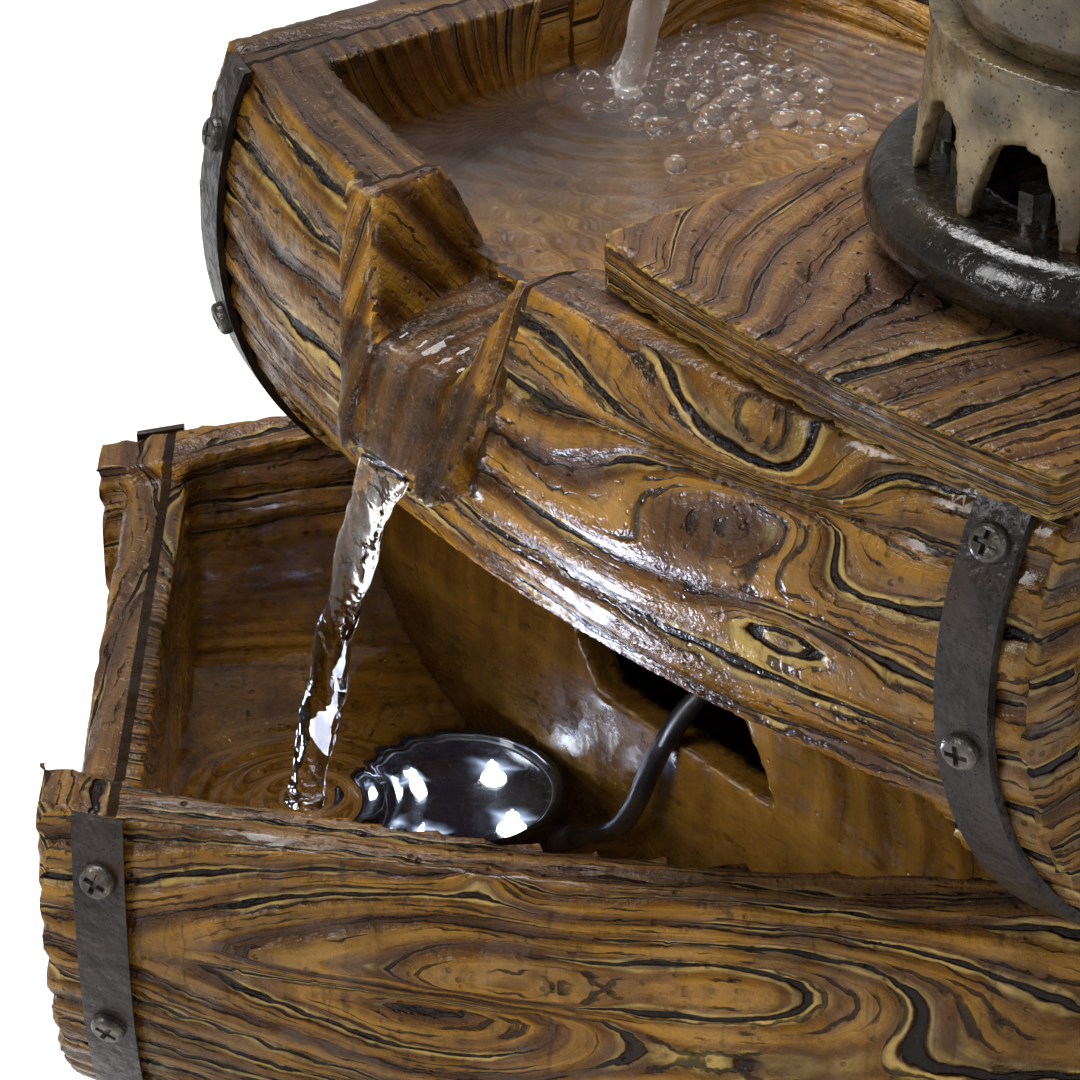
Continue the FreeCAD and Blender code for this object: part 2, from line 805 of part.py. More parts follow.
outline_top = loose_sketch("chute_top", "XY", (0, 0, cask_rim))
closed(outline_top, [
    (-chute_top_left, -chute_root), (-chute_top_left, -chute_top_front),
    (chute_top_right, -chute_top_front), (chute_top_right, -chute_root),
])
outline_foot = loose_sketch("chute_foot", "XY", (0, 0, chute_foot))
closed(outline_foot, [
    (-chute_foot_left, -chute_root), (-chute_foot_left, -chute_foot_front),
    (-chute_foot_right, -chute_foot_front), (-chute_foot_right, -chute_root),
])
chute_block = lofted("chute_block", [outline_foot, outline_top])
ahead = chute_foot_front + 8
behind = cask_bulge + 25
above = cask_rim + 4
sill_section = loose_sketch("sill_section", "XY", (0, 0, sill_height))
closed(sill_section, [
    (-sill_left, -ahead), (-sill_right, -ahead), (-sill_right, -sill_front),
    (channel_flare - 1, -behind), (-sill_back_left, -behind), (-sill_left, -sill_front),
])
rim_section = loose_sketch("rim_section", "XY", (0, 0, above))
closed(rim_section, [
    (-channel_left, -ahead), (channel_right, -ahead), (channel_right, -chute_top_front),
    (channel_flare + 1, -behind), (-sill_back_left, -behind), (-channel_left, -chute_top_front),
])
channel_upper = lofted("channel_upper", [sill_section, rim_section])
lip_section = loose_sketch("lip_section", "XY", (0, 0, chute_foot - 4))
closed(lip_section, [
    (-lip_left, -ahead), (-lip_right, -ahead), (-lip_right, -lip_front), (-lip_left, -lip_front),
])
sill_edge = loose_sketch("sill_edge", "XY", (0, 0, sill_height))
closed(sill_edge, [
    (-sill_left, -ahead), (-sill_right, -ahead), (-sill_right, -sill_front), (-sill_left, -sill_front),
])
channel_lower = lofted("channel_lower", [lip_section, sill_edge])

# Upper pool: side walls lean inward on the way down
pool_form = cask_side("pool_form", [
    (pool_floor_width, cask_floor), (pool_mid_width, pool_mid_height), (pool_rim_width, cask_rim + 5),
])
pool_block = block("pool_block", (-cask_head_inner, -big / 2, 0), (cask_head_inner, big / 2, big / 2))
pool = shared("pool", [pool_form, pool_block])

# Chime recess outside each head
recess_form = cask_skin("recess_form", -cask_wall, cask_foot + cask_wall, cask_rim - 2)
recess_right = block("recess_right", (cask_half - cask_chime, -big / 2, 0), (big / 2, big / 2, big / 2))
recess_left = mirrored("recess_left", recess_right, X)
recess_blocks = joined("recess_blocks", [recess_right, recess_left])
recesses = shared("recesses", [recess_form, recess_blocks])

# Riser: the hose rises through the floor in a rubber seal
riser_x = pump_place - riser_offset
riser_hole = rod("riser_hole", seal_radius, cask_floor - cask_under + 20, riser_x, pump_side, cask_under - 10)

cask_screw_heights = (
    (1, right_upper_screw_height), (1, right_lower_screw_height),
    (-1, left_upper_screw_height), (-1, left_lower_screw_height),
)


def cask_screw_places():
    places = []
    radius = cask_tube.value + hoop_thickness.value
    for end, height in cask_screw_heights:
        rise = height.value - cask_centre.value
        width = math.sqrt(radius * radius - rise * rise)
        x = end * cask_hoop_place.value
        reach = cask_sweep.value + width
        depth = math.sqrt(reach * reach - x * x)
        for side in (-1, 1):
            plan = Vector(x, side * depth, 0)
            position = plan - Vector(0, side * (cask_sweep.value - cask_bulge.value), 0)
            position.z = height.value
            normal = plan / reach * width + Vector(0, 0, rise)
            places.append(facing(position, normal))
    return places


cask_screws = copies("cask_screw_set", screw.body, cask_screw_places())
cask_pilots = copies("cask_pilot_set", pilot, cask_screw_places())
cask_body = joined("cask_body", [cask_mass, chute_block])
cask_cut = joined("cask_cut", [underside_space, pool, recesses, channel_upper, channel_lower, riser_hole])
cask_plain = less("cask_plain", cask_body, cask_cut)
cask = less("cask", cask_plain, cask_pilots)
keep("upper_barrel", put(cask, upper_x, upper_y, 0, upper_turn))
keep("upper_hoop_screws", cask_screws)
cask_screws.Placement = Placement(Vector(upper_x.value, upper_y.value, 0), Rotation(Z, upper_turn.value))

cask_wrap = cask_skin("cask_wrap", hoop_thickness, cask_foot, cask_rim)
wrap_shell = less("wrap_shell", cask_wrap, cask_form)
band_low = cask_hoop_place - hoop_width / 2
band_high = cask_hoop_place + hoop_width / 2
band_right = block("band_right", (band_low, -big / 2, 0), (band_high, big / 2, big / 2))
band_left = mirrored("band_left", band_right, X)
for label, band in (("upper_hoop_right", band_right), ("upper_hoop_left", band_left)):
    ring = shared(label + "_ring", [wrap_shell, band])
    finished = less(label + "_band", ring, cask_pilots)
    keep(label, put(finished, upper_x, upper_y, 0, upper_turn))

seal = Piece("riser_seal_form")
outline = seal.sketch("XZ")
closed(outline, [
    (hose_outer, cask_under - seal_lip_length), (seal_radius + seal_lip, cask_under - seal_lip_length),
    (seal_radius + seal_lip, cask_under), (seal_radius, cask_under),
    (seal_radius, cask_floor), (seal_radius + seal_lip, cask_floor),
    (seal_radius + seal_lip, cask_floor + seal_lip_length), (hose_outer, cask_floor + seal_lip_length),
])
seal.turned(outline)


def upper_point(x, y):
    """World place of a point given in the upper barrel's frame."""
    turn_x = cosine(upper_turn)
    turn_y = sine(upper_turn)
    return (upper_x + x * turn_x - y * turn_y, upper_y + x * turn_y + y * turn_x)


def in_upper(piece, x=0, y=0, z=0):
    world = upper_point(num(x), num(y))
    return piece.at(world[0], world[1], z, upper_turn)


keep("riser_seal", in_upper(seal, riser_x, pump_side))

# Pedestal
# Hollow stand between the pools, in the upper barrel's frame

stand_low = block("stand_low", (-stand_left, -stand_half_width, basin_floor),
                  (stand_right, stand_half_width, cask_foot))
stand_high = block("stand_high", (-under_left, -stand_half_width, cask_foot - 1),
                   (under_right, stand_half_width, cask_under))
neck_outline = loose_sketch("neck_outline", "YZ", (neck_left, 0, 0))
neck_top = stand_half_width + neck_reach
closed(neck_outline, [
    (0, neck_start), (0, cask_under), (-neck_top, cask_under, -neck_curve), (-stand_half_width, neck_start),
])
neck_prism = extruded("neck_prism", neck_outline, under_right - neck_left, X)
stand_mass = joined("stand_mass", [stand_low, stand_high, neck_prism])

# The lower pool's room seen from the upper barrel's frame, which the stand fits
room = less("room_twin", basin_hollow, block("room_floor", (-big / 2, -big / 2, -big / 2),
                                             (big / 2, big / 2, basin_floor)))
cross_x = -(upper_x * cosine(upper_turn) + upper_y * sine(upper_turn))
cross_y = upper_x * sine(upper_turn) - upper_y * cosine(upper_turn)
put(room, cross_x, cross_y, 0, -upper_turn)
room_over = block("room_over", (-under_left, -big / 2, cask_foot), (under_right, big / 2, cask_under))
stand_space = joined("stand_space", [room, room_over])
stand_fit = shared("stand_fit", [stand_mass, stand_space])

chamber_half = stand_half_width - stand_wall
chamber = block("chamber", (-chamber_left, -chamber_half, basin_floor - 5),
                (chamber_right, chamber_half, cask_under + 5))
door_outline = loose_sketch("door_outline", "XZ", (0, 0, 0))
closed(door_outline, [
    (-door_left_foot, door_sill),
    (door_right_foot, door_sill),
    (door_right_middle, door_right_middle_height, 30),
    (-door_right_turn, door_right_turn_height, 60),
    (-door_left_top * 0.6, door_crown),
    (-door_left_top, door_crown - 6),
    (-door_left_top, door_crown - 10),
])
door = extruded("door", door_outline, stand_half_width + neck_reach + 20, -Y)
hatch_hole = block("hatch_hole", (-hatch_half_width, chamber_half - 5, hatch_low),
                   (hatch_half_width, stand_half_width + 5, hatch_high))
stand_spaces = joined("stand_spaces", [chamber, door, hatch_hole])
stand = less("stand", stand_fit, stand_spaces)
keep("pedestal", put(stand, upper_x, upper_y, 0, upper_turn))

# Slotted cover that presses into the hole in the back wall of the stand
hatch = Piece("hatch_form")
outline = hatch.sketch("XZ", -(stand_half_width - hatch_plug))
plug_low = hatch_low + hatch_gap
plug_high = hatch_high - hatch_gap
plug_half = hatch_half_width - hatch_gap
closed(outline, [
    (-plug_half, plug_low), (plug_half, plug_low), (plug_half, plug_high), (-plug_half, plug_high),
])
plug = hatch.pad(outline, hatch_plug)
plug.Reversed = True
outline = hatch.sketch("XZ", -stand_half_width)
plate_low = hatch_low - hatch_lip
plate_high = hatch_high + hatch_lip
plate_half = hatch_half_width + hatch_lip
closed(outline, [
    (-plate_half, plate_low), (plate_half, plate_low), (plate_half, plate_high), (-plate_half, plate_high),
])
plate = hatch.pad(outline, hatch_plate)
plate.Reversed = True
outline = hatch.sketch("XZ", -(stand_half_width - hatch_plug))
hollow_half = plug_half - 3
closed(outline, [
    (-hollow_half, plug_low + 3), (hollow_half, plug_low + 3),
    (hollow_half, plug_high - 3), (-hollow_half, plug_high - 3),
])
hatch.pocket(outline, hatch_plug, True)
outline = hatch.sketch("XZ", -(stand_half_width - hatch_plug))
slot_half = hatch_slot_width / 2
slot_low = plug_low + 8
slot_high = (hatch_low + hatch_high) / 2 - hatch_knob_radius - 3
closed(outline, [
    (-slot_half, slot_low), (slot_half, slot_low), (slot_half, slot_high), (-slot_half, slot_high),
])
slot = hatch.pocket(outline, hatch_plug + hatch_plate, True)
slots = hatch.feature("MultiTransform")
slots.Originals = [slot]
slot_row = hatch.feature("LinearPattern")
slot_row.Direction = (hatch.origin("X_Axis"), [""])
slot_row.Length = 2 * hatch_slot_pitch.value
slot_row.Occurrences = 3
bind(slot_row, "Length", 2 * hatch_slot_pitch)
slot_mirror = hatch.feature("Mirrored")
slot_mirror.MirrorPlane = (hatch.origin("YZ_Plane"), [""])
slots.Transformations = [slot_row, slot_mirror]
hatch.body.Tip = slots
outline = hatch.sketch("XZ", -(stand_half_width + hatch_plate))
circle(outline, 0, (hatch_low + hatch_high) / 2, hatch_knob_radius)
knob = hatch.pad(outline, hatch_knob_length)
knob.Reversed = True
keep("access_cover", in_upper(hatch))

# Lid over the right half of the barrel
deck_outline = loose_sketch("deck_outline", "XY", (0, 0, cask_rim))
closed(deck_outline, [
    (deck_left, -deck_half_left + 3), (deck_left + 4, -deck_half_left, cask_sweep),
    (deck_right, -deck_half_right), (deck_right, deck_half_right, cask_sweep),
    (deck_left + 4, deck_half_left), (deck_left, deck_half_left - 3),
])
deck_slab = extruded("deck_slab", deck_outline, deck_thickness)
deck_hole = rod("deck_hole", deck_hole_radius, deck_thickness + 20, riser_x, pump_side, cask_rim - 10)
groove_cuts = []
for index in range(1, 5):
    place = deck_left + deck_plank * index + 4 * (index % 2)
    groove_cuts.append(block("deck_joint_%d" % index, (place, -big / 2, deck_top - deck_groove_depth),
                             (place + 0.9, big / 2, deck_top + 5)))
deck_tools = joined("deck_tools", [deck_hole] + groove_cuts)
deck = less("deck", deck_slab, deck_tools)
keep("pump_deck", put(deck, upper_x, upper_y, 0, upper_turn))

# Hand pump
# Pump frame: axis up through the flange, spout at -x, handle at +x
arch_count = 12


def at_pump(piece, turn=0.0):
    world = upper_point(pump_place, pump_side)
    return piece.at(world[0], world[1], 0, upper_turn.value + turn)


flange = Piece("flange_form")
outline = flange.sketch("XZ")
roll_centre = flange_radius - flange_roll
closed(outline, [
    (flange_bore, deck_top), (roll_centre, deck_top, flange_roll * 1.0001),
    (roll_centre, flange_top), (flange_bore, flange_top),
])
flange.turned(outline)
keep("pump_flange", at_pump(flange))

skirt = Piece("skirt_form")
outline = skirt.sketch("XZ")
closed(outline, [
    (skirt_foot_radius - skirt_wall, flange_top),
    (skirt_foot_radius, flange_top),
    (skirt_waist_radius, skirt_rim_height - 10, -60),
    (skirt_waist_radius - 0.6, skirt_rim_height - 3),
    (skirt_waist_radius, skirt_rim_height),
    (barrel_bore, skirt_rim_height),
    (barrel_bore, skirt_rim_height - skirt_shelf),
    (skirt_waist_radius - skirt_wall, skirt_rim_height - 2 * skirt_shelf),
])
skirt.turned(outline)
outline = skirt.sketch("XZ")
closed(outline, [
    (-arch_half_width, flange_top - 1), (arch_half_width, flange_top - 1),
    (arch_half_width * 0.93, flange_top + 4), (arch_half_width * 0.55, flange_top + arch_height * 0.78, 7),
    (-arch_half_width * 0.55, flange_top + arch_height * 0.78),
    (-arch_half_width * 0.93, flange_top + 4),
])
arch = skirt.pocket(outline, skirt_foot_radius + 10)
skirt.around(arch, arch_count)
keep("pump_skirt", at_pump(skirt, 10))

bolts = Piece("skirt_bolt_form")
outline = bolts.sketch("XY", flange_top)
circle(outline, 0, -bolt_ring, washer_radius)
bolts.pad(outline, 1.2)
outline = bolts.sketch("XY", flange_top + 1.2)
hexagon = [(bolt_radius * cosine(num(60 * k)), -bolt_ring + bolt_radius * sine(num(60 * k))) for k in range(6)]
closed(outline, hexagon)
head = bolts.pad(outline, bolt_height)
doc.recompute()
ring_of_bolts = bolts.feature("PolarPattern")
ring_of_bolts.Originals = [feature for feature in bolts.body.Group if feature.TypeId == "PartDesign::Pad"]
ring_of_bolts.Axis = (bolts.origin("Z_Axis"), [""])
ring_of_bolts.Angle = 360
ring_of_bolts.Occurrences = arch_count
bolts.body.Tip = ring_of_bolts
keep("pump_skirt_bolts", at_pump(bolts, 10))


tube = Piece("pump_barrel_form")
outline = tube.sketch("XZ")
closed(outline, [
    (barrel_bore, skirt_rim_height),
    (barrel_radius - neck_groove, skirt_rim_height),
    (barrel_radius - neck_groove, skirt_rim_height + 3),
    (barrel_radius, skirt_rim_height + 4.5),
    (barrel_radius, spout_height - 26),
    (barrel_radius + 1.6, spout_height - 24, 6),
    (barrel_radius + 1.6, spout_height - 18),
    (barrel_radius, spout_height - 16),
    (barrel_radius, barrel_top - collar_height - 5, -6),
    (collar_radius, barrel_top - collar_height),
    (collar_radius, barrel_top),
    (barrel_bore, barrel_top),
])
tube.turned(outline)
outline = tube.sketch("YZ")
circle(outline, 0, spout_height, spout_radius)
mouth = tube.pocket(outline, collar_radius + 10)
doc.recompute()
if tube.body.Shape.isInside(Vector(-barrel_radius.value + 2, 0, spout_height.value), 0.1, True):
    mouth.Reversed = not mouth.Reversed
keep("pump_cylinder", at_pump(tube))

spout = Piece("spout_form")
path = spout.sketch("XZ")
bend_x = -riser_offset - spout_bend
drop = math.radians(45)
straight = Part.LineSegment(Vector(-riser_offset.value, spout_foot.value, 0),
                            Vector(-riser_offset.value, spout_height.value - spout_bend.value, 0))
bend_centre = Vector(bend_x.value, spout_height.value - spout_bend.value, 0)


def arc_between(centre, radius, start, stop):
    middle = (start + stop) / 2
    points = [centre + Vector(math.cos(a), math.sin(a), 0) * radius for a in (start, middle, stop)]
    return Part.Arc(*points), points[0], points[2]


rise_arc, rise_start, rise_stop = arc_between(bend_centre, spout_bend.value, 0, math.pi / 2)
run_stop = Vector(-spout_run.value, spout_height.value, 0)
drop_centre = run_stop - Vector(0, spout_drop.value, 0)
fall_arc, fall_start, fall_stop = arc_between(drop_centre, spout_drop.value, math.pi / 2, math.pi / 2 + drop)
mouth_tip = fall_stop + Vector(-math.sin(drop), -math.cos(drop), 0) * spout_end.value
for piece in (straight, rise_arc, Part.LineSegment(rise_stop, run_stop), fall_arc,
              Part.LineSegment(fall_stop, mouth_tip)):
    path.addGeometry(piece, False)
section = spout.sketch("XY", spout_foot)
circle(section, -riser_offset, 0, spout_radius)
circle(section, -riser_offset, 0, spout_bore)
pipe = spout.feature("AdditivePipe", section)
pipe.Spine = (path, [""])
path.Visibility = False
keep("pump_spout", at_pump(spout))

cap = Piece("cap_form")
outline = cap.sketch("XZ")
cap_base = barrel_top + cap_flange
closed(outline, [
    (rod_radius + rod_clearance, barrel_top - 3), (barrel_bore - 0.2, barrel_top - 3),
    (barrel_bore - 0.2, barrel_top), (collar_radius, barrel_top),
    (collar_radius, cap_base - 1), (collar_radius - 1, cap_base),
    (cap_boss_radius + 4, cap_base, -9), (cap_boss_radius - 2, cap_boss_top - 3, 4),
    (cap_boss_radius - 6, cap_boss_top), (rod_radius + rod_clearance, cap_boss_top),
])
cap.turned(outline)
keep("pump_cap", at_pump(cap))

cap_bolt_count = 6
bolt = Piece("cap_bolt_form")
outline = bolt.sketch("XY", cap_base)
hexagon = [(cap_bolt_ring + bolt_radius * cosine(num(60 * k)), bolt_radius * sine(num(60 * k)))
           for k in range(6)]
closed(outline, hexagon)
head = bolt.pad(outline, bolt_height * 0.7)
bolt.around(head, cap_bolt_count)
keep("cap_screws", at_pump(bolt, 30))


ears = Piece("bracket_form")
ear_inner = handle_half + ear_gap
ear_outer = ear_inner + ear_thickness
outline = ears.sketch("XZ", -ear_outer)
closed(outline, [
    (pivot_x - ear_half, cap_base), (pivot_x + ear_half, cap_base),
    (pivot_x + ear_half, pivot_height, ear_half * 1.0001), (pivot_x - ear_half, pivot_height),
])
solid = ears.pad(outline, 2 * ear_outer)
outline = ears.sketch("YZ", pivot_x - ear_half - 5)
closed(outline, [
    (-ear_inner, cap_base + 5), (ear_inner, cap_base + 5),
    (ear_inner, pivot_height + 20), (-ear_inner, pivot_height + 20),
])
ears.pocket(outline, 2 * ear_half + 10, True)
outline = ears.sketch("XZ", -ear_inner)
stop_top = pivot_height - boss_radius - stop_gap
closed(outline, [
    (pivot_x + ear_half - 4, cap_base + 5), (pivot_x + ear_half, cap_base + 5),
    (pivot_x + ear_half, stop_top), (pivot_x + ear_half - 4, stop_top),
])
ears.pad(outline, 2 * ear_inner)
outline = ears.sketch("XZ", -(ear_outer + 5))
circle(outline, pivot_x, pivot_height, pin_radius)
ears.pocket(outline, 2 * ear_outer + 10, True)
keep("lever_bracket", at_pump(ears))

pin = Piece("handle_pin_form")
outline = pin.sketch("XZ", -(ear_outer + 0))
circle(outline, pivot_x, pivot_height, pin_radius)
pin.pad(outline, 2 * ear_outer)
for side in (-1, 1):
    outline = pin.sketch("XZ", ear_outer * side if side > 0 else -ear_outer - 2)
    circle(outline, pivot_x, pivot_height, pin_radius + 1.6)
    pin.pad(outline, 2)
keep("handle_pin", at_pump(pin))

# Handle: fork over the rod's eye, boss on the pivot and a long curved arm that hangs down at rest
handle = Piece("handle_form")
fork_x = cosine(fork_angle)
fork_z = sine(fork_angle)


def along_fork(along, across):
    """Point in the handle's plane, along the fork from the pivot and square to it."""
    return (pivot_x - along * fork_x - across * fork_z, pivot_height + along * fork_z - across * fork_x)


outline = handle.sketch("XZ", -handle_half)
closed(outline, [
    along_fork(num(0), -fork_root_half), along_fork(fork_reach, -fork_tip_half),
    along_fork(fork_reach, fork_tip_half), along_fork(num(0), fork_root_half),
])
handle.pad(outline, 2 * handle_half)
outline = handle.sketch("XZ", -handle_half)
circle(outline, pivot_x, pivot_height, boss_radius)
handle.pad(outline, 2 * handle_half)
outline = handle.sketch("XZ", -handle_half)
circle(outline, *along_fork(fork_reach, num(0)), fork_end_half)
handle.pad(outline, 2 * handle_half)
outline = handle.sketch("XZ", -arm_half)
closed(outline, [
    (pivot_x, pivot_height - boss_radius + 0.3), (pivot_x + 12, pivot_height - boss_radius + 0.3, -52),
    (arm_shoulder_x, arm_shoulder_height - arm_depth), (arm_tip_x - arm_tip_depth / 2, arm_tip_height),
    (arm_tip_x + arm_tip_depth / 2, arm_tip_height),
    (arm_shoulder_x + arm_depth, arm_shoulder_height, 60), (pivot_x + 12, pivot_height + boss_radius - 1),
    (pivot_x, pivot_height + boss_radius - 1),
])
handle.pad(outline, 2 * arm_half)
outline = handle.sketch("XZ", -knob_half)
circle(outline, arm_tip_x, arm_tip_height, knob_radius)
handle.pad(outline, 2 * knob_half)
outline = handle.sketch("XZ", -fork_gap_half)
closed(outline, [
    along_fork(fork_reach + 20, -20), along_fork(fork_reach + 20, 20),
    along_fork(boss_radius + 4, 20), along_fork(boss_radius + 4, -20),
])
handle.pocket(outline, 2 * fork_gap_half, True)
outline = handle.sketch("XZ", -(handle_half + 5))
circle(outline, pivot_x, pivot_height, pin_radius + pin_clearance)
handle.pocket(outline, 2 * handle_half + 10, True)
outline = handle.sketch("XZ", -(handle_half + 5))
slot_near = pivot_x - slot_extra
slot_far = pivot_x / fork_x + slot_extra
slot_half = rod_pin_radius + slot_clearance
closed(outline, [
    along_fork(slot_far, -slot_half) + (slot_half * 1.0001,), along_fork(slot_far, slot_half),
    along_fork(slot_near, slot_half) + (slot_half * 1.0001,), along_fork(slot_near, -slot_half),
])
handle.pocket(outline, 2 * handle_half + 10, True)
keep("pump_handle", at_pump(handle))

# Plunger: piston, rod and the flat eye that the fork drives
rod_pin_height = pivot_height + pivot_x * fork_z / fork_x
plunger = Piece("plunger_form")
outline = plunger.sketch("XZ")
piston_radius = barrel_bore - piston_clearance
piston_low = piston_top - piston_height
closed(outline, [
    (0, piston_low), (piston_radius - 1, piston_low), (piston_radius, piston_low + 1),
    (piston_radius, piston_low + piston_height * 0.4), (piston_radius - 1.5, piston_low + piston_height * 0.45),
    (piston_radius - 1.5, piston_low + piston_height * 0.55), (piston_radius, piston_low + piston_height * 0.6),
    (piston_radius, piston_top - 1), (piston_radius - 1, piston_top),
    (rod_radius, piston_top), (rod_radius, rod_pin_height - 3), (0, rod_pin_height - 3),
])
plunger.turned(outline)
outline = plunger.sketch("XZ", -eye_half)
circle(outline, 0, rod_pin_height, eye_radius)
plunger.pad(outline, 2 * eye_half)
outline = plunger.sketch("XZ", -(eye_half + 5))
circle(outline, 0, rod_pin_height, rod_pin_radius)
plunger.pocket(outline, 2 * eye_half + 10, True)
keep("plunger_rod", at_pump(plunger))

rod_pin = Piece("rod_pin_form")
rod_pin_half = handle_half + 0.5
outline = rod_pin.sketch("XZ", -rod_pin_half)
circle(outline, 0, rod_pin_height, rod_pin_radius)
rod_pin.pad(outline, 2 * rod_pin_half)
for offset in (-(rod_pin_half + rod_pin_head), rod_pin_half):
    outline = rod_pin.sketch("XZ", offset)
    circle(outline, 0, rod_pin_height, rod_pin_radius + 1.4)
    rod_pin.pad(outline, rod_pin_head)
keep("rod_pin", at_pump(rod_pin))

# Submersible pump in the stand
# Own frame: x along the rotor with the inlet at -x, placed under the riser
blade_count = 6
strainer_slots = 5
barb_radius = hose_outer - hose_wall
motor_front = riser_x - outlet_place
motor_low = basin_floor + foot_height
motor_top = motor_low + motor_body_height


def at_motor(piece):
    world = upper_point(motor_front, pump_side)
    return piece.at(world[0], world[1], 0, upper_turn)


def ring_on_x(piece, offset, radii, length, reverse=False):
    outline = piece.sketch("YZ", offset)
    for radius in radii:
        circle(outline, 0, motor_height, radius)
    made = piece.pad(outline, length)
    made.Reversed = reverse
    return made


motor = Piece("motor_form")
outline = motor.sketch("YZ")
half = motor_width / 2
closed(outline, [(-half, motor_low), (half, motor_low), (half, motor_top), (-half, motor_top)])
motor.pad(outline, motor_length)
corners = motor.edges(lambda e: abs(e.Length - motor_length.value) < 1e-6)
motor.rounded(corners, motor_corner)
outline = motor.sketch("YZ")
circle(outline, 0, motor_height, rotor_room_radius)
motor.pocket(outline, rotor_room_depth, True)
outline = motor.sketch("YZ")
circle(outline, 0, motor_height, rotor_bore)
motor.pocket(outline, rotor_room_depth + rotor_bore_depth, True)
outline = motor.sketch("YZ")
circle(outline, 0, motor_height, shaft_radius)
motor.pocket(outline, rotor_room_depth + rotor_bore_depth + shaft_seat, True)
outline = motor.sketch("XY", motor_top + 5)
circle(outline, riser_x - motor_front, 0, barb_radius - 2)
motor.pocket(outline, 5 + motor_body_height / 2)
keep("sub_housing", at_motor(motor))

impeller = Piece("impeller_form")
ring_on_x(impeller, rotor_room_depth + rotor_gap, [rotor_bore - rotor_gap, shaft_radius + shaft_clearance],
          rotor_bore_depth - 2 * rotor_gap)
ring_on_x(impeller, rotor_gap, [hub_radius, shaft_radius + shaft_clearance], rotor_room_depth)
ring_on_x(impeller, rotor_room_depth - rotor_gap - 1.6,
          [rotor_room_radius - 1, shaft_radius + shaft_clearance], 1.2)
outline = impeller.sketch("YZ", 1.0)
blade_root = hub_radius - 1
blade_tip = rotor_room_radius - 1.4
closed(outline, [
    (-blade_thickness / 2, motor_height + blade_root, 30),
    (-blade_thickness / 2 + 2.4, motor_height + blade_tip),
    (blade_thickness / 2 + 2.4, motor_height + blade_tip, -30),
    (blade_thickness / 2, motor_height + blade_root),
])
blade = impeller.pad(outline, blade_length)
impeller_axis = impeller.sketch("XZ")
axis_line = impeller_axis.addGeometry(Part.LineSegment(Vector(0, motor_height.value, 0),
                                                       Vector(1, motor_height.value, 0)), True)
impeller_axis.addConstraint(Sketcher.Constraint("Horizontal", axis_line))
place = impeller_axis.addConstraint(Sketcher.Constraint("DistanceY", -1, 1, axis_line, 1, motor_height.value))
bind(impeller_axis, "Constraints[%d]" % place, motor_height)
blades = impeller.feature("PolarPattern")
blades.Originals = [blade]
blades.Axis = (impeller_axis, ["Axis0"])
blades.Angle = 360
blades.Occurrences = blade_count
impeller.body.Tip = blades
keep("sub_impeller", at_motor(impeller))

shaft = Piece("rotor_shaft_form")
ring_on_x(shaft, -cover_thickness / 2, [shaft_radius],
          rotor_room_depth + rotor_bore_depth + shaft_seat + cover_thickness / 2)
keep("sub_shaft", at_motor(shaft))

cover = Piece("rotor_cover_form")
ring_on_x(cover, -cover_thickness, [half - strainer_wall - cover_clearance], cover_thickness)
for angle in (45, 135, 225, 315):
    outline = cover.sketch("YZ", -cover_thickness)
    circle(outline, 5.4 * cosine(num(angle)), motor_height + 5.4 * sine(num(angle)), 2.6)
    cover.pocket(outline, cover_thickness, True)
outline = cover.sketch("YZ", -cover_thickness)
circle(outline, 0, motor_height, shaft_radius)
cover.pocket(outline, cover_thickness, True)
keep("sub_impeller_cover", at_motor(cover))

strainer = Piece("strainer_form")
outline = strainer.sketch("YZ", -strainer_depth)
closed(outline, [(-half, motor_low), (half, motor_low), (half, motor_top), (-half, motor_top)])
strainer.pad(outline, strainer_depth)
corners = strainer.edges(lambda e: abs(e.Length - strainer_depth.value) < 1e-6)
strainer.rounded(corners, motor_corner)
outline = strainer.sketch("YZ", 0)
inner = half - strainer_wall
closed(outline, [
    (-inner, motor_low + strainer_wall), (inner, motor_low + strainer_wall),
    (inner, motor_top - strainer_wall), (-inner, motor_top - strainer_wall),
])
strainer.pocket(outline, strainer_depth - strainer_wall)
slot_pitch = 2 * (half - 5) / strainer_slots
outline = strainer.sketch("YZ", -strainer_depth - 5)
slot_y = -half + 5 + slot_pitch / 2 - strainer_slot / 2
closed(outline, [
    (slot_y, motor_low + 4), (slot_y + strainer_slot, motor_low + 4),
    (slot_y + strainer_slot, motor_height - dial_radius - 3), (slot_y, motor_height - dial_radius - 3),
])
grille_slot = strainer.pocket(outline, 5 + strainer_wall + 1, True)
grille = strainer.feature("LinearPattern")
grille.Originals = [grille_slot]
grille.Direction = (strainer.origin("Y_Axis"), [""])
bind(grille, "Length", slot_pitch * (strainer_slots - 1))
grille.Occurrences = strainer_slots
strainer.body.Tip = grille
outline = strainer.sketch("YZ", -strainer_depth - 5)
circle(outline, 0, motor_height + 4, dial_radius * 0.45)
strainer.pocket(outline, 5 + strainer_wall + 1, True)
keep("sub_strainer", at_motor(strainer))

dial = Piece("dial_form")
outline = dial.sketch("YZ", -strainer_depth - dial_thickness - 0.05)
circle(outline, 0, motor_height + 4, dial_radius)
circle(outline, dial_radius * 0.62, motor_height + 4, dial_radius * 0.22)
dial.pad(outline, dial_thickness)
outline = dial.sketch("YZ", -strainer_depth - dial_thickness - 0.05)
circle(outline, 0, motor_height + 4, dial_radius * 0.45 - 0.05)
dial.pad(outline, dial_thickness + strainer_wall)
outline = dial.sketch("YZ", -strainer_depth - dial_thickness - 3)
closed(outline, [
    (-dial_radius * 0.8, motor_height + 3), (dial_radius * 0.2, motor_height + 3),
    (dial_radius * 0.2, motor_height + 5), (-dial_radius * 0.8, motor_height + 5),
])
dial.pad(outline, 3)
keep("sub_dial", at_motor(dial))

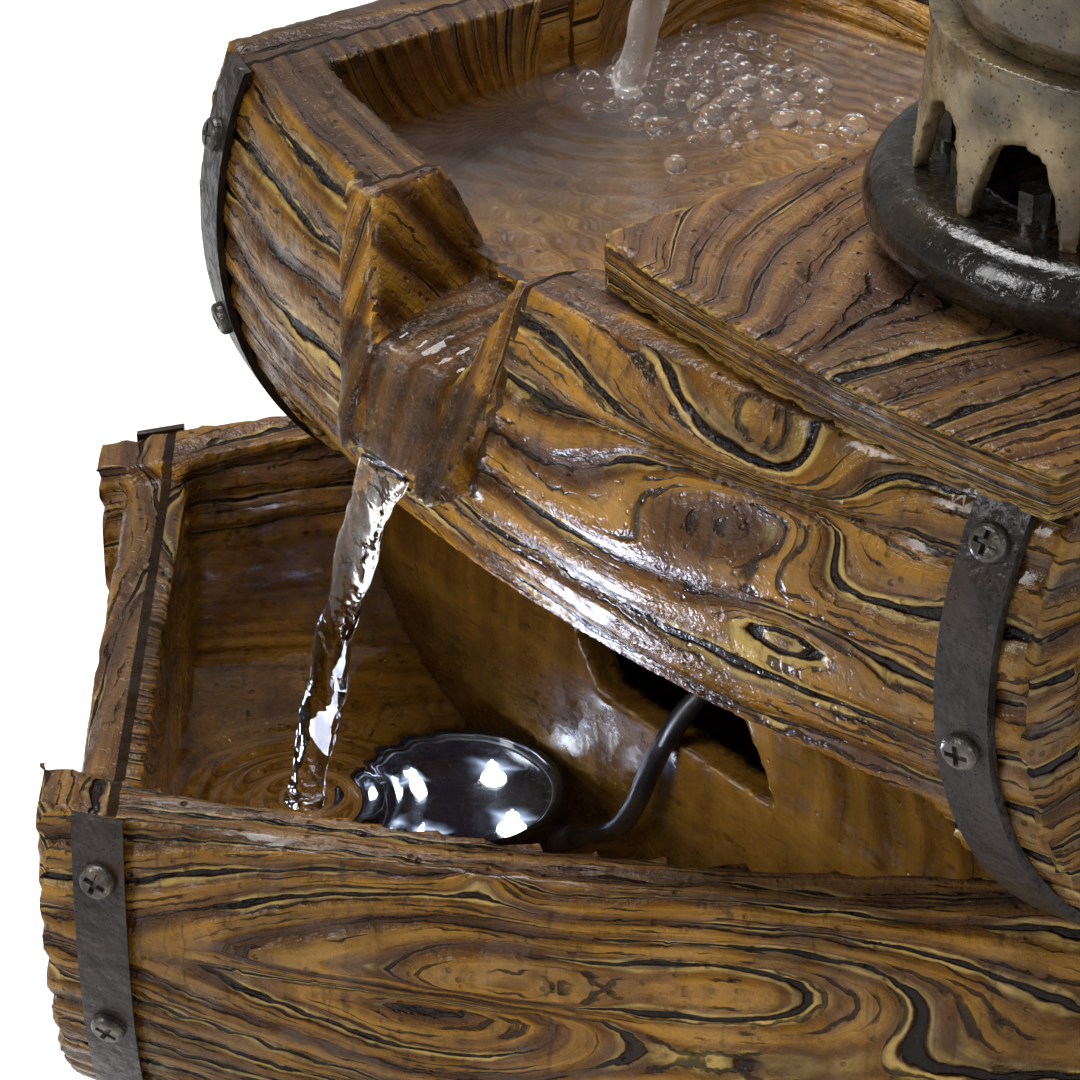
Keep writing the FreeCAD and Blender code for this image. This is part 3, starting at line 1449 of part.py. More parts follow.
feet = Piece("foot_form")
for foot_x in (foot_inset, motor_length - foot_inset):
    for side in (-1, 1):
        foot_y = side * (half - foot_inset - 1)
        outline = feet.sketch("XY", basin_floor)
        circle(outline, foot_x, foot_y, foot_radius)
        feet.pad(outline, foot_rim)
        outline = feet.sketch("XY", basin_floor + foot_rim)
        circle(outline, foot_x, foot_y, foot_radius - foot_rim)
        feet.pad(outline, foot_height - foot_rim)
keep("sub_feet", at_motor(feet))

outlet = Piece("outlet_form")
outline = outlet.sketch("XZ")
closed(outline, [
    (barb_radius - 2, motor_top), (outlet_radius, motor_top),
    (outlet_radius, motor_top + outlet_height), (barb_radius, motor_top + outlet_height),
    (barb_radius, motor_top + outlet_height + barb_length),
    (barb_radius - 2, motor_top + outlet_height + barb_length),
])
outlet.turned(outline)
keep("sub_outlet", in_upper(outlet, riser_x, pump_side))

gland = Piece("motor_gland_form")
outline = gland.sketch("XY", motor_top)
circle(outline, motor_length - motor_gland_inset, 0, motor_gland_radius)
circle(outline, motor_length - motor_gland_inset, 0, motor_cord_radius)
gland.pad(outline, motor_gland_height)
keep("sub_gland", at_motor(gland))

hose = Piece("hose_form")
outline = hose.sketch("XY", motor_top + outlet_height)
circle(outline, 0, 0, hose_outer)
circle(outline, 0, 0, hose_outer - hose_wall)
hose_top = spout_foot
hose.pad(outline, hose_top - motor_top - outlet_height)
keep("riser_hose", in_upper(hose, riser_x, pump_side))

clamp = Piece("clamp_form")
clamp_low = motor_top + outlet_height + 4
outline = clamp.sketch("XY", clamp_low)
circle(outline, 0, 0, hose_outer + clamp_thickness)
circle(outline, 0, 0, hose_outer)
clamp.pad(outline, clamp_width)
outline = clamp.sketch("XY", clamp_low)
closed(outline, [
    (hose_outer + clamp_thickness - 0.3, -2), (hose_outer + clamp_thickness + 5, -2),
    (hose_outer + clamp_thickness + 5, 2), (hose_outer + clamp_thickness - 0.3, 2),
])
clamp.pad(outline, clamp_width)
keep("hose_clamp", in_upper(clamp, riser_x, pump_side))

# Light on the lower pool's floor
light_low = basin_floor + cup_height
light_top = light_low + light_height
board_top = light_low + light_base + 1.4 + board_thickness
light_inner = light_radius - light_wall

shell = Piece("light_form")
outline = shell.sketch("XZ")
closed(outline, [
    (0, light_low), (light_radius - 2, light_low), (light_radius, light_low + 2),
    (light_radius, light_top - 1), (light_radius - 1, light_top), (light_inner, light_top),
    (light_inner, light_top - lens_thickness - 0.6), (light_inner - 1.5, light_top - lens_thickness - 0.6),
    (light_inner - 1.5, light_low + light_base), (0, light_low + light_base),
])
shell.turned(outline)
keep("light_housing", shell.at(light_x, light_y, 0))

board = Piece("board_form")
outline = board.sketch("XY", board_top - board_thickness)
circle(outline, 0, 0, light_inner - 1.8)
board.pad(outline, board_thickness)
outline = board.sketch("XY", light_low + light_base)
circle(outline, 0, 0, 3)
board.pad(outline, 1.4)
keep("light_board", board.at(light_x, light_y, 0))

emitter = Piece("emitter_form")
outline = emitter.sketch("XZ")
closed(outline, [
    (0, 0), (emitter_radius, 0), (emitter_radius, emitter_height / 3),
    (emitter_crown, emitter_height * 0.8), (emitter_crown / 2, emitter_height), (0, emitter_height),
])
emitter.turned(outline)
emitter_places = []
for quarter in range(4):
    angle = math.radians(emitter_turn.value + 90 * quarter)
    emitter_places.append(Placement(Vector(light_x.value + emitter_ring.value * math.cos(angle),
                                           light_y.value + emitter_ring.value * math.sin(angle),
                                           board_top.value), Rotation()))
keep("light_emitters", copies("emitter_set", emitter.body, emitter_places))

lens = Piece("lens_form")
outline = lens.sketch("XZ")
closed(outline, [
    (0, light_top - lens_thickness), (light_inner - 0.1, light_top - lens_thickness),
    (light_inner - 0.1, light_top - 0.6), (0, light_top - 0.6),
])
lens.turned(outline)
keep("light_lens", lens.at(light_x, light_y, 0))

o_ring = Piece("light_seal_form")
outline = o_ring.sketch("XZ")
circle(outline, light_inner - 0.75, light_top - lens_thickness - 0.3, 0.3)
o_ring.turned(outline)
keep("light_seal", o_ring.at(light_x, light_y, 0))

cups = Piece("cup_form")
outline = cups.sketch("XZ")
cup_ring = light_radius - cup_radius - 2
closed(outline, [
    (cup_ring, basin_floor), (cup_ring + cup_radius, basin_floor), (cup_ring + cup_radius - 1.5, light_low),
    (cup_ring, light_low),
])
cup = cups.feature("Revolution", outline)
cup_line = outline.addGeometry(Part.LineSegment(Vector(cup_ring.value, 0, 0),
                                                Vector(cup_ring.value, 1, 0)), True)
outline.addConstraint(Sketcher.Constraint("Vertical", cup_line))
place = outline.addConstraint(Sketcher.Constraint("DistanceX", -1, 1, cup_line, 1, cup_ring.value))
bind(outline, "Constraints[%d]" % place, cup_ring)
cup.ReferenceAxis = (outline, ["Axis0"])
cup.Angle = 360
cups.around(cup, 3)
keep("light_cups", cups.at(light_x, light_y, 0))

# Cable from the light up through the opening to a connector in the stand
gland_height = light_low + 8
light_gland = Piece("light_gland_form")
outline = light_gland.sketch("XZ")
closed(outline, [
    (cable_radius, -0.6), (4.2, -0.6), (4.2, 2.5), (3.2, gland_length), (cable_radius, gland_length),
])
light_gland.turned(outline)
exit_way = Vector(math.cos(math.radians(gland_turn.value)) * math.cos(math.radians(gland_lift.value)),
                  math.sin(math.radians(gland_turn.value)) * math.cos(math.radians(gland_lift.value)),
                  math.sin(math.radians(gland_lift.value)))
gland_root = (light_x + light_radius * cosine(cable_turn),
              light_y + light_radius * sine(cable_turn), gland_height)
light_gland.body.Placement = Placement(Vector(*[c.value for c in gland_root]), Rotation(Z, exit_way))
for axis, coordinate in zip("xyz", gland_root):
    bind(light_gland.body, "Placement.Base." + axis, coordinate)
gland_trim = less("gland_trim", light_gland.body, shell.body)
keep("light_gland", gland_trim)


def inside_stand(along, front, height):
    """World point given along the stand, toward its front and by height."""
    world = upper_point(num(along), num(-front))
    return Vector(world[0].value, world[1].value, height)


gland_tip = Vector(*[c.value for c in gland_root]) + exit_way * gland_length.value
cable_route = [
    gland_tip,
    gland_tip + exit_way * 11,
    Vector(-91, -6, 47.5),
    Vector(-88.7, -6.9, 64),
    Vector(-84.8, -7.1, 80.5),
    inside_stand(-11, 26, 91.5),
    inside_stand(-2, 9, 97),
    inside_stand(13, -5, 100),
    inside_stand(31, -12, 100),
]


def cord_path(points):
    """Straight runs joined by tangent arcs as large as the runs allow."""
    edges = []
    at = points[0]
    for before, corner, after in zip(points, points[1:], points[2:]):
        back = before - corner
        on = after - corner
        half_turn = (math.pi - back.getAngle(on)) / 2
        reach = 0.45 * min(back.Length, on.Length)
        bend = reach / math.tan(half_turn)
        first = corner + back.normalize() * reach
        last = corner + on.normalize() * reach
        inward = (back + on).normalize()
        middle = corner + inward * (bend / math.cos(half_turn) - bend)
        print("cable bend radius %.1f" % bend)
        edges.append(Part.LineSegment(at, first).toShape())
        edges.append(Part.Arc(first, middle, last).toShape())
        at = last
    edges.append(Part.LineSegment(at, points[-1]).toShape())
    return Part.Wire(edges)


def cord_solid(points, radius):
    path = cord_path(points)
    ring = Part.Wire([Part.Circle(points[0], points[1] - points[0], radius).toShape()])
    tube = path.makePipeShell([ring], True, False)
    print("cable volume %.1f, section by length %.1f" % (tube.Volume, math.pi * radius ** 2 * path.Length))
    return tube


cable = doc.addObject("Part::Feature", "light_lead")
cable.Shape = cord_solid(cable_route, cable_radius.value)
keep("light_cable", cable)

connector = Piece("connector_form")
outline = connector.sketch("XZ")
closed(outline, [
    (0, 0), (connector_radius - 1.2, 0), (connector_radius, 2),
    (connector_radius, connector_length * 0.42), (connector_radius - 0.6, connector_length * 0.44),
    (connector_radius - 0.6, connector_length * 0.5), (connector_radius, connector_length * 0.52),
    (connector_radius, connector_length - 2), (connector_radius - 1.2, connector_length),
    (0, connector_length),
])
connector.turned(outline)
connector_way = cable_route[-1] - cable_route[-2]
connector.body.Placement = Placement(cable_route[-1], Rotation(Z, connector_way))
keep("cable_connector", connector.body)

clip_block = block("clip_block", (clip_place - clip_width / 2, 15, 100 - clip_height / 2),
                   (clip_place + clip_width / 2, stand_half_width - stand_wall, 100 + clip_height / 2))
put(clip_block, *upper_point(clip_place - clip_width / 2, num(15)), 100 - clip_height / 2, upper_turn)
clip_bore = rod("clip_bore", connector_radius, connector_length)
clip_bore.Placement = connector.body.Placement
keep("cable_clip", less("clip", clip_block, clip_bore))

# Writing the pieces
doc.recompute()
for thing in doc.Objects:
    if "Invalid" in thing.State or "Error" in thing.State:
        raise RuntimeError(thing.Name + " failed")
for label, thing in nodes.items():
    if thing.Shape.isNull() or not thing.Shape.isValid():
        raise RuntimeError(label + " has no valid shape")
os.makedirs("parts", exist_ok=True)
for label, thing in nodes.items():
    thing.Shape.exportStep("parts/" + label + ".step")
    print("%-20s %10.0f mm3" % (label, thing.Shape.Volume))
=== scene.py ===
"""Dresses the tiered barrel fountain: carved resin, bands, hand pump, pool light, cable and water."""

import sys
import logging
import math
from collections.abc import Iterable, Sequence
from dataclasses import dataclass
from enum import Enum

import bmesh
import bpy
import numpy as np
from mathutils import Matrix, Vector


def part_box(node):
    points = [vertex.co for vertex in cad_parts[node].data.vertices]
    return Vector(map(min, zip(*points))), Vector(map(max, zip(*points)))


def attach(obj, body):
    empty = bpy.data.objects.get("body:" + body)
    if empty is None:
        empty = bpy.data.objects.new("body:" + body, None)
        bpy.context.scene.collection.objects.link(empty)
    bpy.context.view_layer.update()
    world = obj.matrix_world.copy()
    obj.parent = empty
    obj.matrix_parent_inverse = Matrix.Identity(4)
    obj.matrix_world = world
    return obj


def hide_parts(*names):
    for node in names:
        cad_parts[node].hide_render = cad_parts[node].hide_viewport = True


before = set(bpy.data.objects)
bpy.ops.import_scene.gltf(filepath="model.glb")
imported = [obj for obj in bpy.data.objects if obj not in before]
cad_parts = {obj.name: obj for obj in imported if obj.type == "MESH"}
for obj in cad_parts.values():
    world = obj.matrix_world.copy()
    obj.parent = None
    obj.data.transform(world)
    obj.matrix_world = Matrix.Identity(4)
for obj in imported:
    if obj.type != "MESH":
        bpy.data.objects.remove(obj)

LOG = logging.getLogger("fountain")
MM = 0.001
BODY = "fountain"
SAME_POINT = 1e-6
WHITE = (1.0, 1.0, 1.0)
Socket = bpy.types.NodeSocket
Colour = tuple[float, float, float]
Place = tuple[float, float, float]


def srgb(red: float, green: float, blue: float) -> Colour:
    """Linear colour of a screen colour given from 0 to 255."""
    parts = [value / 255 for value in (red, green, blue)]
    return tuple(v / 12.92 if v < 0.04045 else ((v + 0.055) / 1.055) ** 2.4 for v in parts)


# ---------------------------------------------------------------- steady noise for meshes


def lattice(cells: np.ndarray, seed: int) -> np.ndarray:
    """Steady values from -1 to 1, one for each whole-number cell.

    Args:
        cells: Rows of three whole numbers.
        seed: Which family of values.

    Returns:
        One value for each row.
    """
    mixed = (cells[:, 0] * 73856093) ^ (cells[:, 1] * 19349663) ^ (cells[:, 2] * 83492791) ^ (seed * 97531)
    mixed = ((mixed ^ (mixed >> 13)) * 1274126177) & 0x7FFFFFFF
    mixed = ((mixed ^ (mixed >> 11)) * 668265263) & 0x7FFFFFFF
    return mixed / 0x3FFFFFFF - 1.0


def noise(points: np.ndarray, seed: int, octaves: int = 1) -> np.ndarray:
    """Smooth noise from about -1 to 1.

    Args:
        points: Rows of three coordinates, one unit to a cell.
        seed: Which family of values.
        octaves: How many finer layers are added up.

    Returns:
        One value for each row.
    """
    total = np.zeros(len(points))
    size, weight, sum_of_weights = 1.0, 1.0, 0.0
    for octave in range(octaves):
        scaled = points * size
        low = np.floor(scaled).astype(np.int64)
        part = scaled - low
        part = part * part * (3 - 2 * part)
        layer = np.zeros(len(points))
        for corner in range(8):
            step = np.array([corner & 1, (corner >> 1) & 1, corner >> 2])
            weights = np.prod(np.where(step == 1, part, 1 - part), axis=1)
            layer += weights * lattice(low + step, seed + octave * 31)
        total += layer * weight
        sum_of_weights += weight
        size *= 2.03
        weight *= 0.5
    return total / sum_of_weights


def flat_noise(first: np.ndarray, second: np.ndarray, seed: int, octaves: int = 1) -> np.ndarray:
    """Smooth noise over two coordinates."""
    return noise(np.stack([first, second, np.full_like(first, seed * 0.37)], axis=1), seed, octaves)


def smooth(low: float, high: float, value: np.ndarray) -> np.ndarray:
    """Soft step from 0 at low to 1 at high."""
    part = np.clip((value - low) / (high - low), 0, 1)
    return part * part * (3 - 2 * part)


# ---------------------------------------------------------------- shader building


class Value:
    """What a socket gives, for plain arithmetic with other values and numbers."""

    def __init__(self, graph: "Graph", socket: Socket) -> None:
        """Keeps the socket and its graph."""
        self.graph, self.socket = graph, socket

    def __add__(self, other: "Value | float") -> "Value":
        """Sum."""
        return self.graph.math("ADD", self, other)

    def __sub__(self, other: "Value | float") -> "Value":
        """Difference."""
        return self.graph.math("SUBTRACT", self, other)

    def __rsub__(self, other: float) -> "Value":
        """Difference from a number."""
        return self.graph.math("SUBTRACT", other, self)

    def __mul__(self, other: "Value | float") -> "Value":
        """Product."""
        return self.graph.math("MULTIPLY", self, other)

    def __truediv__(self, other: "Value | float") -> "Value":
        """Quotient."""
        return self.graph.math("DIVIDE", self, other)


Input = Value | float | Colour


class Graph:
    """Adds and wires the nodes of one shader tree."""

    def __init__(self, tree: bpy.types.NodeTree) -> None:
        """Keeps the tree that the nodes go in."""
        self.tree = tree

    def fill(self, socket: Socket, value: Input) -> None:
        """Links a socket to a value, or sets its number or colour."""
        if isinstance(value, Value):
            self.tree.links.new(value.socket, socket)
        elif socket.type == "RGBA":
            socket.default_value = (*value[:3], 1.0)
        else:
            socket.default_value = value

    def set(self, node: bpy.types.Node, **inputs: Input) -> bpy.types.Node:
        """Fills sockets of a node, named with underscores for spaces."""
        for name, value in inputs.items():
            self.fill(node.inputs[name.replace("_", " ")], value)
        return node

    def add(self, kind: str, settings: dict | None = None, **inputs: Input) -> bpy.types.Node:
        """Adds a node.

        Args:
            kind: The node's type name.
            settings: Values of the node's own options.
            inputs: Socket names, with underscores for spaces, and what goes in them.

        Returns:
            The new node.
        """
        node = self.tree.nodes.new(kind)
        for name, value in (settings or {}).items():
            setattr(node, name, value)
        return self.set(node, **inputs)

    def out(self, kind: str, settings: dict | None = None, parts: Sequence[Input] = (),
            at: Sequence[int] = range(5), give: int = 0, **inputs: Input) -> Value:
        """Adds a node and gives one of its outputs.

        Args:
            kind: The node's type name.
            settings: Values of the node's own options.
            parts: What goes in its sockets by number.
            at: The numbers of those sockets.
            give: Number of the output.
            inputs: What goes in its sockets by name.

        Returns:
            The output's value.
        """
        node = self.add(kind, settings, **inputs)
        for number, part in zip(at, parts):
            self.fill(node.inputs[number], part)
        return Value(self, node.outputs[give])

    def math(self, operation: str, *parts: Input, clamp: bool = False) -> Value:
        """Result of one Math node."""
        return self.out("ShaderNodeMath", {"operation": operation, "use_clamp": clamp}, parts)

    def span(self, value: Input, low: float, high: float,
             new_low: float = 0.0, new_high: float = 1.0) -> Value:
        """Value carried softly from one range to another."""
        return self.out("ShaderNodeMapRange", {"interpolation_type": "SMOOTHSTEP"},
                        (value, low, high, new_low, new_high))

    def mix(self, factor: Input, first: Input, second: Input, blend: str = "MIX") -> Value:
        """Two colours mixed."""
        return self.out("ShaderNodeMix", {"data_type": "RGBA", "blend_type": blend}, (factor, first, second),
                        at=(0, 6, 7), give=2)

    def layers(self, tone: Input, *coats: tuple[Input, Input]) -> Value:
        """Colours laid over a first one in turn, each by its own factor."""
        for factor, colour in coats:
            tone = self.mix(factor, tone, colour)
        return tone

    def grain(self, vector: Value, scale: Input, detail: float = 3.0, rough: float = 0.55) -> Value:
        """Noise at one scale, from 0 to 1."""
        return self.out("ShaderNodeTexNoise", {"noise_dimensions": "3D"}, Vector=vector, Scale=scale,
                        Detail=detail, Roughness=rough)

    def vector(self, x: Input, y: Input, z: Input = 0.0) -> Value:
        """Three values as one vector."""
        return self.out("ShaderNodeCombineXYZ", None, (x, y, z))

    def object_space(self) -> Value:
        """Coordinates of the object itself, in metres."""
        return Value(self, self.add("ShaderNodeTexCoord").outputs["Object"])

    def attribute(self, name: str) -> Value:
        """A number kept on the mesh."""
        return Value(self, self.add("ShaderNodeAttribute", {"attribute_name": name}).outputs["Fac"])

    def bump(self, height: Value, distance: float, strength: float = 1.0) -> Value:
        """Normal bent by a height."""
        return self.out("ShaderNodeBump", Height=height, Distance=distance, Strength=strength)

    def rays(self, *kinds: str) -> Value:
        """1 for light rays of these kinds, one or two of them, and 0 for others."""
        path = self.add("ShaderNodeLightPath")
        found = [Value(self, path.outputs[f"Is {kind} Ray"]) for kind in kinds]
        return found[0] if len(found) == 1 else self.math("MAXIMUM", *found)

    def blend(self, factor: Value, first: Value, second: Value) -> Value:
        """Two shaders mixed."""
        return self.out("ShaderNodeMixShader", None, (factor, first, second))

    def show(self, shader: Value, kind: str = "ShaderNodeOutputMaterial") -> None:
        """Makes a shader the tree's surface."""
        output = next((node for node in self.tree.nodes if node.bl_idname == kind), None) or self.add(kind)
        self.set(output, Surface=shader)


def open_group(name: str, inputs: dict[str, float | None]) -> tuple[Graph, list[Value]]:
    """Starts a shader node group.

    Args:
        name: The group's name.
        inputs: First value of each input by name, or None for a vector.

    Returns:
        The group's graph and the values that come in.
    """
    tree = bpy.data.node_groups.new(name, "ShaderNodeTree")
    for label, start in inputs.items():
        kind = "NodeSocketVector" if start is None else "NodeSocketFloat"
        made = tree.interface.new_socket(label, in_out="INPUT", socket_type=kind)
        if start is not None:
            made.default_value = start
    graph = Graph(tree)
    source = graph.add("NodeGroupInput")
    return graph, [Value(graph, source.outputs[label]) for label in inputs]


def close_group(graph: Graph, **outputs: Value) -> bpy.types.NodeTree:
    """Names the values that come out of a group."""
    for label in outputs:
        graph.tree.interface.new_socket(label, in_out="OUTPUT", socket_type="NodeSocketFloat")
    graph.set(graph.add("NodeGroupOutput"), **outputs)
    return graph.tree


def carved_lines_group() -> bpy.types.NodeTree:
    """Builds the group that cuts grain lines along a field of evenly spaced contours."""
    graph, (along, across, spacing, strength) = open_group(
        "carved_lines", {"Along": 0.0, "Across": 0.0, "Spacing": 0.007, "Strength": 1.0})

    def off_middle(rows: Value) -> Value:
        """How far a value is from the middle of its whole-number row."""
        return graph.math("ABSOLUTE", graph.math("FRACT", rows) - 0.5)

    ripple = graph.grain(graph.vector(along * 60.0, across * 150.0), 1.0)
    lines = across / spacing + (ripple - 0.5) * 0.5
    away = off_middle(lines)
    vigour = graph.grain(graph.vector(along * 24.0, graph.math("FLOOR", lines) * 3.17, 4.1), 1.0, 3.0, 0.65)
    width = graph.span(vigour, 0.34, 0.8, 0.014, 0.125) * strength
    apart = away / width
    groove = graph.span(apart, 0.55, 1.1, 1.0, 0.0) * graph.span(width, 0.012, 0.03)
    lip = graph.span(apart, 1.0, 1.5) * graph.span(apart, 1.7, 3.4, 1.0, 0.0) * graph.span(width, 0.02, 0.05)
    crown = graph.span(away, 0.04, 0.42)
    finer = lines * 4.2 + graph.grain(graph.vector(along * 150.0, across * 420.0), 1.0) * 1.5
    breaks = graph.grain(graph.vector(along * 46.0, graph.math("FLOOR", finer) * 1.73, 9.2), 1.0, 3.0, 0.65)
    stroke = graph.span(breaks, 0.42, 0.72, 0.0, 0.34) * strength
    gone = graph.math("DIVIDE", off_middle(finer), stroke + 0.001, clamp=True)
    left = graph.math("SUBTRACT", 1.0, gone, clamp=True)
    fine = graph.span(left, 0.0, 0.8) * graph.span(stroke, 0.03, 0.14)
    height = crown * 0.4 - groove - fine * 0.45
    return close_group(graph, Groove=groove, Lip=lip, Crown=crown, Fine=fine, Height=height)


def mottle_group() -> bpy.types.NodeTree:
    """Builds the group that gives broad blotches, speckles and small pits."""
    graph, (place, scale) = open_group("mottle", {"Vector": None, "Scale": 40.0})
    cells = graph.out("ShaderNodeTexVoronoi", {"feature": "F1"}, Vector=place, Scale=scale * 9.0,
                      Randomness=1.0)
    keep = graph.span(graph.grain(place, scale * 3.1, 1.0), 0.5, 0.62)
    return close_group(graph, Blotch=graph.span(graph.grain(place, scale, 4.0, 0.6), 0.36, 0.66),
                       Speckle=graph.span(graph.grain(place, scale * 7.0, 3.0, 0.65), 0.45, 0.68),
                       Pit=graph.span(cells, 0.05, 0.28, 1.0, 0.0) * keep)


def edge_wear_group() -> bpy.types.NodeTree:
    """Builds the group that breaks up the rubbed edges kept on a mesh as its wear value."""
    graph, (place, wear, reach) = open_group("edge_wear", {"Vector": None, "Wear": 0.0, "Reach": 0.5})
    rubbed = wear + (graph.grain(place, 90.0, 4.0, 0.65) - 0.5) * 0.9
    return close_group(graph, Mask=graph.math("MULTIPLY", rubbed - (1.0 - reach), 3.0, clamp=True))


class Shared(Enum):
    """Effects that several finishes share."""

    LINES = "carved_lines"
    MOTTLE = "mottle"
    WEAR = "edge_wear"


BUILDERS = {Shared.LINES: carved_lines_group, Shared.MOTTLE: mottle_group, Shared.WEAR: edge_wear_group}


def shared(graph: Graph, effect: Shared, **inputs: Input) -> dict[str, Value]:
    """Places one of the shared effects in a material and gives its outputs by name."""
    tree = bpy.data.node_groups.get(effect.value) or BUILDERS[effect]()
    node = graph.add("ShaderNodeGroup", {"node_tree": tree}, **inputs)
    return {socket.name: Value(graph, socket) for socket in node.outputs}


def new_material(name: str) -> tuple[bpy.types.Material, Graph, bpy.types.Node]:
    """Starts a material.

    Returns:
        The material, its graph and its main shader.
    """
    material = bpy.data.materials.new(name)
    material.use_nodes = True
    material.node_tree.nodes.clear()
    graph = Graph(material.node_tree)
    shader = graph.add("ShaderNodeBsdfPrincipled")
    graph.show(Value(graph, shader.outputs[0]))
    return material, graph, shader


# ---------------------------------------------------------------- finishes


@dataclass(frozen=True)
class CarvedResin:
    """Varnished cast resin carved like old oak staves, washed dark and rubbed light on its ridges."""

    name: str
    spacing: float = 0.0092
    depth: float = 0.0016
    deep: Colour = srgb(17, 9, 3)
    brown: Colour = srgb(72, 42, 10)
    body: Colour = srgb(122, 80, 20)
    ochre: Colour = srgb(168, 121, 38)
    tan: Colour = srgb(212, 180, 100)
    stain: Colour = srgb(80, 63, 54)
    gloss: float = 0.24

    def make(self) -> bpy.types.Material:
        """Builds the material."""
        material, graph, shader = new_material(self.name)
        place = graph.object_space()
        laid = graph.add("ShaderNodeSeparateXYZ", Vector=graph.out("ShaderNodeUVMap", {"uv_map": "grain"}))
        along, across = (Value(graph, laid.outputs[number]) for number in (0, 1))
        strength, wear, top, hollow, soaked = map(
            graph.attribute, ("strength", "wear", "stain", "hollow", "soaked"))
        lines = shared(graph, Shared.LINES, Along=along, Across=across, Spacing=self.spacing,
                       Strength=strength)
        mottle = shared(graph, Shared.MOTTLE, Vector=place, Scale=42.0)
        rubbed = shared(graph, Shared.WEAR, Vector=place, Wear=wear, Reach=0.6)["Mask"]
        streak = graph.grain(graph.vector(along * 26.0, across * 300.0), 1.0, 5.0, 0.66)
        ticks = graph.grain(graph.vector(along * 330.0, across * 90.0), 1.0, 3.0, 0.6)
        marble = graph.span(graph.grain(place, 46.0, 6.0, 0.72), 0.4, 0.62)
        ridge = lines["Crown"] * 0.5 + streak
        tone = graph.layers(
            self.brown,
            (graph.span(ridge, 0.42, 0.86), self.body),
            (graph.span(ridge, 0.72, 1.16), self.ochre),
            (mottle["Blotch"] * graph.span(streak, 0.35, 0.62, 0.75, 0.3), self.brown),
            (lines["Lip"] * graph.span(streak, 0.36, 0.6, 0.15, 0.8), self.tan),
            (hollow * 0.9, graph.mix(marble, self.body, self.ochre)),
            (top * graph.span(streak, 0.25, 0.75, 1.0, 0.55), self.stain),
            (rubbed * 0.85, self.tan),
            (mottle["Speckle"] * graph.span(streak, 0.4, 0.6, 0.5, 0.12), self.brown),
            (lines["Fine"] * 0.85, self.deep),
            (mottle["Pit"] * graph.span(top, 0.0, 1.0, 0.3, 0.9), self.deep),
            (lines["Groove"] * 0.96, self.deep),
            (graph.span(ticks, 0.58, 0.7, 0.0, 0.5), self.deep),
            (soaked, graph.mix(marble, self.deep, self.brown)))
        shade = graph.span(graph.grain(place, 15.0), 0.36, 0.64, 0.66, 1.08)
        varnish = graph.span(graph.grain(place, 75.0, 4.0, 0.62), 0.47, 0.63, 0.02, 0.42)
        whole = 1.0 - graph.math("MAXIMUM", lines["Groove"], lines["Fine"])
        relief = (lines["Height"] + graph.grain(place, 130.0, 5.0, 0.62) * 0.5 - mottle["Pit"] * 0.45
                  - mottle["Speckle"] * 0.1 + streak * 0.35)
        graph.set(shader, Base_Color=graph.mix(1.0, tone, graph.vector(shade, shade, shade), "MULTIPLY"),
                  Roughness=graph.span(mottle["Speckle"], 0.0, 1.0, self.gloss, self.gloss + 0.24),
                  Coat_Weight=varnish * whole, Coat_Roughness=0.1, Specular_IOR_Level=0.24,
                  Normal=graph.bump(relief, self.depth))
        return material


@dataclass(frozen=True)
class Patina:
    """Mottled cast finish: a ground colour with blotches, dark pits and rust."""

    name: str
    ground: Colour
    blotch: Colour
    dark: Colour
    rust: Colour
    scale: float = 42.0
    rust_share: float = 0.4
    rough: float = 0.34
    depth: float = 0.0006
    metal: float = 0.0
    coat: float = 0.3

    def make(self) -> bpy.types.Material:
        """Builds the material."""
        material, graph, shader = new_material(self.name)
        place = graph.object_space()
        broad = shared(graph, Shared.MOTTLE, Vector=place, Scale=self.scale)
        small = shared(graph, Shared.MOTTLE, Vector=place, Scale=self.scale * 2.7)
        rubbed = shared(graph, Shared.WEAR, Vector=place, Wear=graph.attribute("wear"), Reach=0.55)["Mask"]
        rusty = graph.span(graph.grain(place, self.scale * 1.6, 5.0, 0.7), 0.56, 0.7, 0.0, self.rust_share)
        tone = graph.layers(self.ground, (broad["Blotch"], self.blotch), (small["Blotch"] * 0.45, self.dark),
                            (rusty, self.rust), (rubbed * 0.7, self.blotch), (small["Pit"] * 0.8, self.dark))
        relief = broad["Blotch"] * 0.5 + graph.grain(place, 260.0, 4.0) * 0.5 - small["Pit"] * 0.9
        graph.set(shader, Base_Color=tone, Metallic=self.metal,
                  Roughness=graph.span(broad["Speckle"], 0.0, 1.0, self.rough, self.rough + 0.22),
                  Coat_Weight=self.coat, Coat_Roughness=0.15, Specular_IOR_Level=0.3,
                  Normal=graph.bump(relief, self.depth))
        return material


@dataclass(frozen=True)
class Moulded:
    """Moulded plastic or rubber with a fine skin and faint handling marks."""

    name: str
    colour: Colour
    marked: Colour
    rough: float = 0.4
    skin: float = 900.0
    depth: float = 0.00008
    clear: float = 0.0

    def make(self) -> bpy.types.Material:
        """Builds the material."""
        material, graph, shader = new_material(self.name)
        place = graph.object_space()
        marks = shared(graph, Shared.MOTTLE, Vector=place, Scale=60.0)
        graph.set(shader, Base_Color=graph.mix(marks["Blotch"] * 0.5, self.colour, self.marked),
                  Roughness=graph.span(marks["Speckle"], 0.0, 1.0, self.rough, self.rough + 0.12),
                  Transmission_Weight=self.clear,
                  Normal=graph.bump(graph.grain(place, self.skin, 2.0), self.depth, 0.6))
        return material


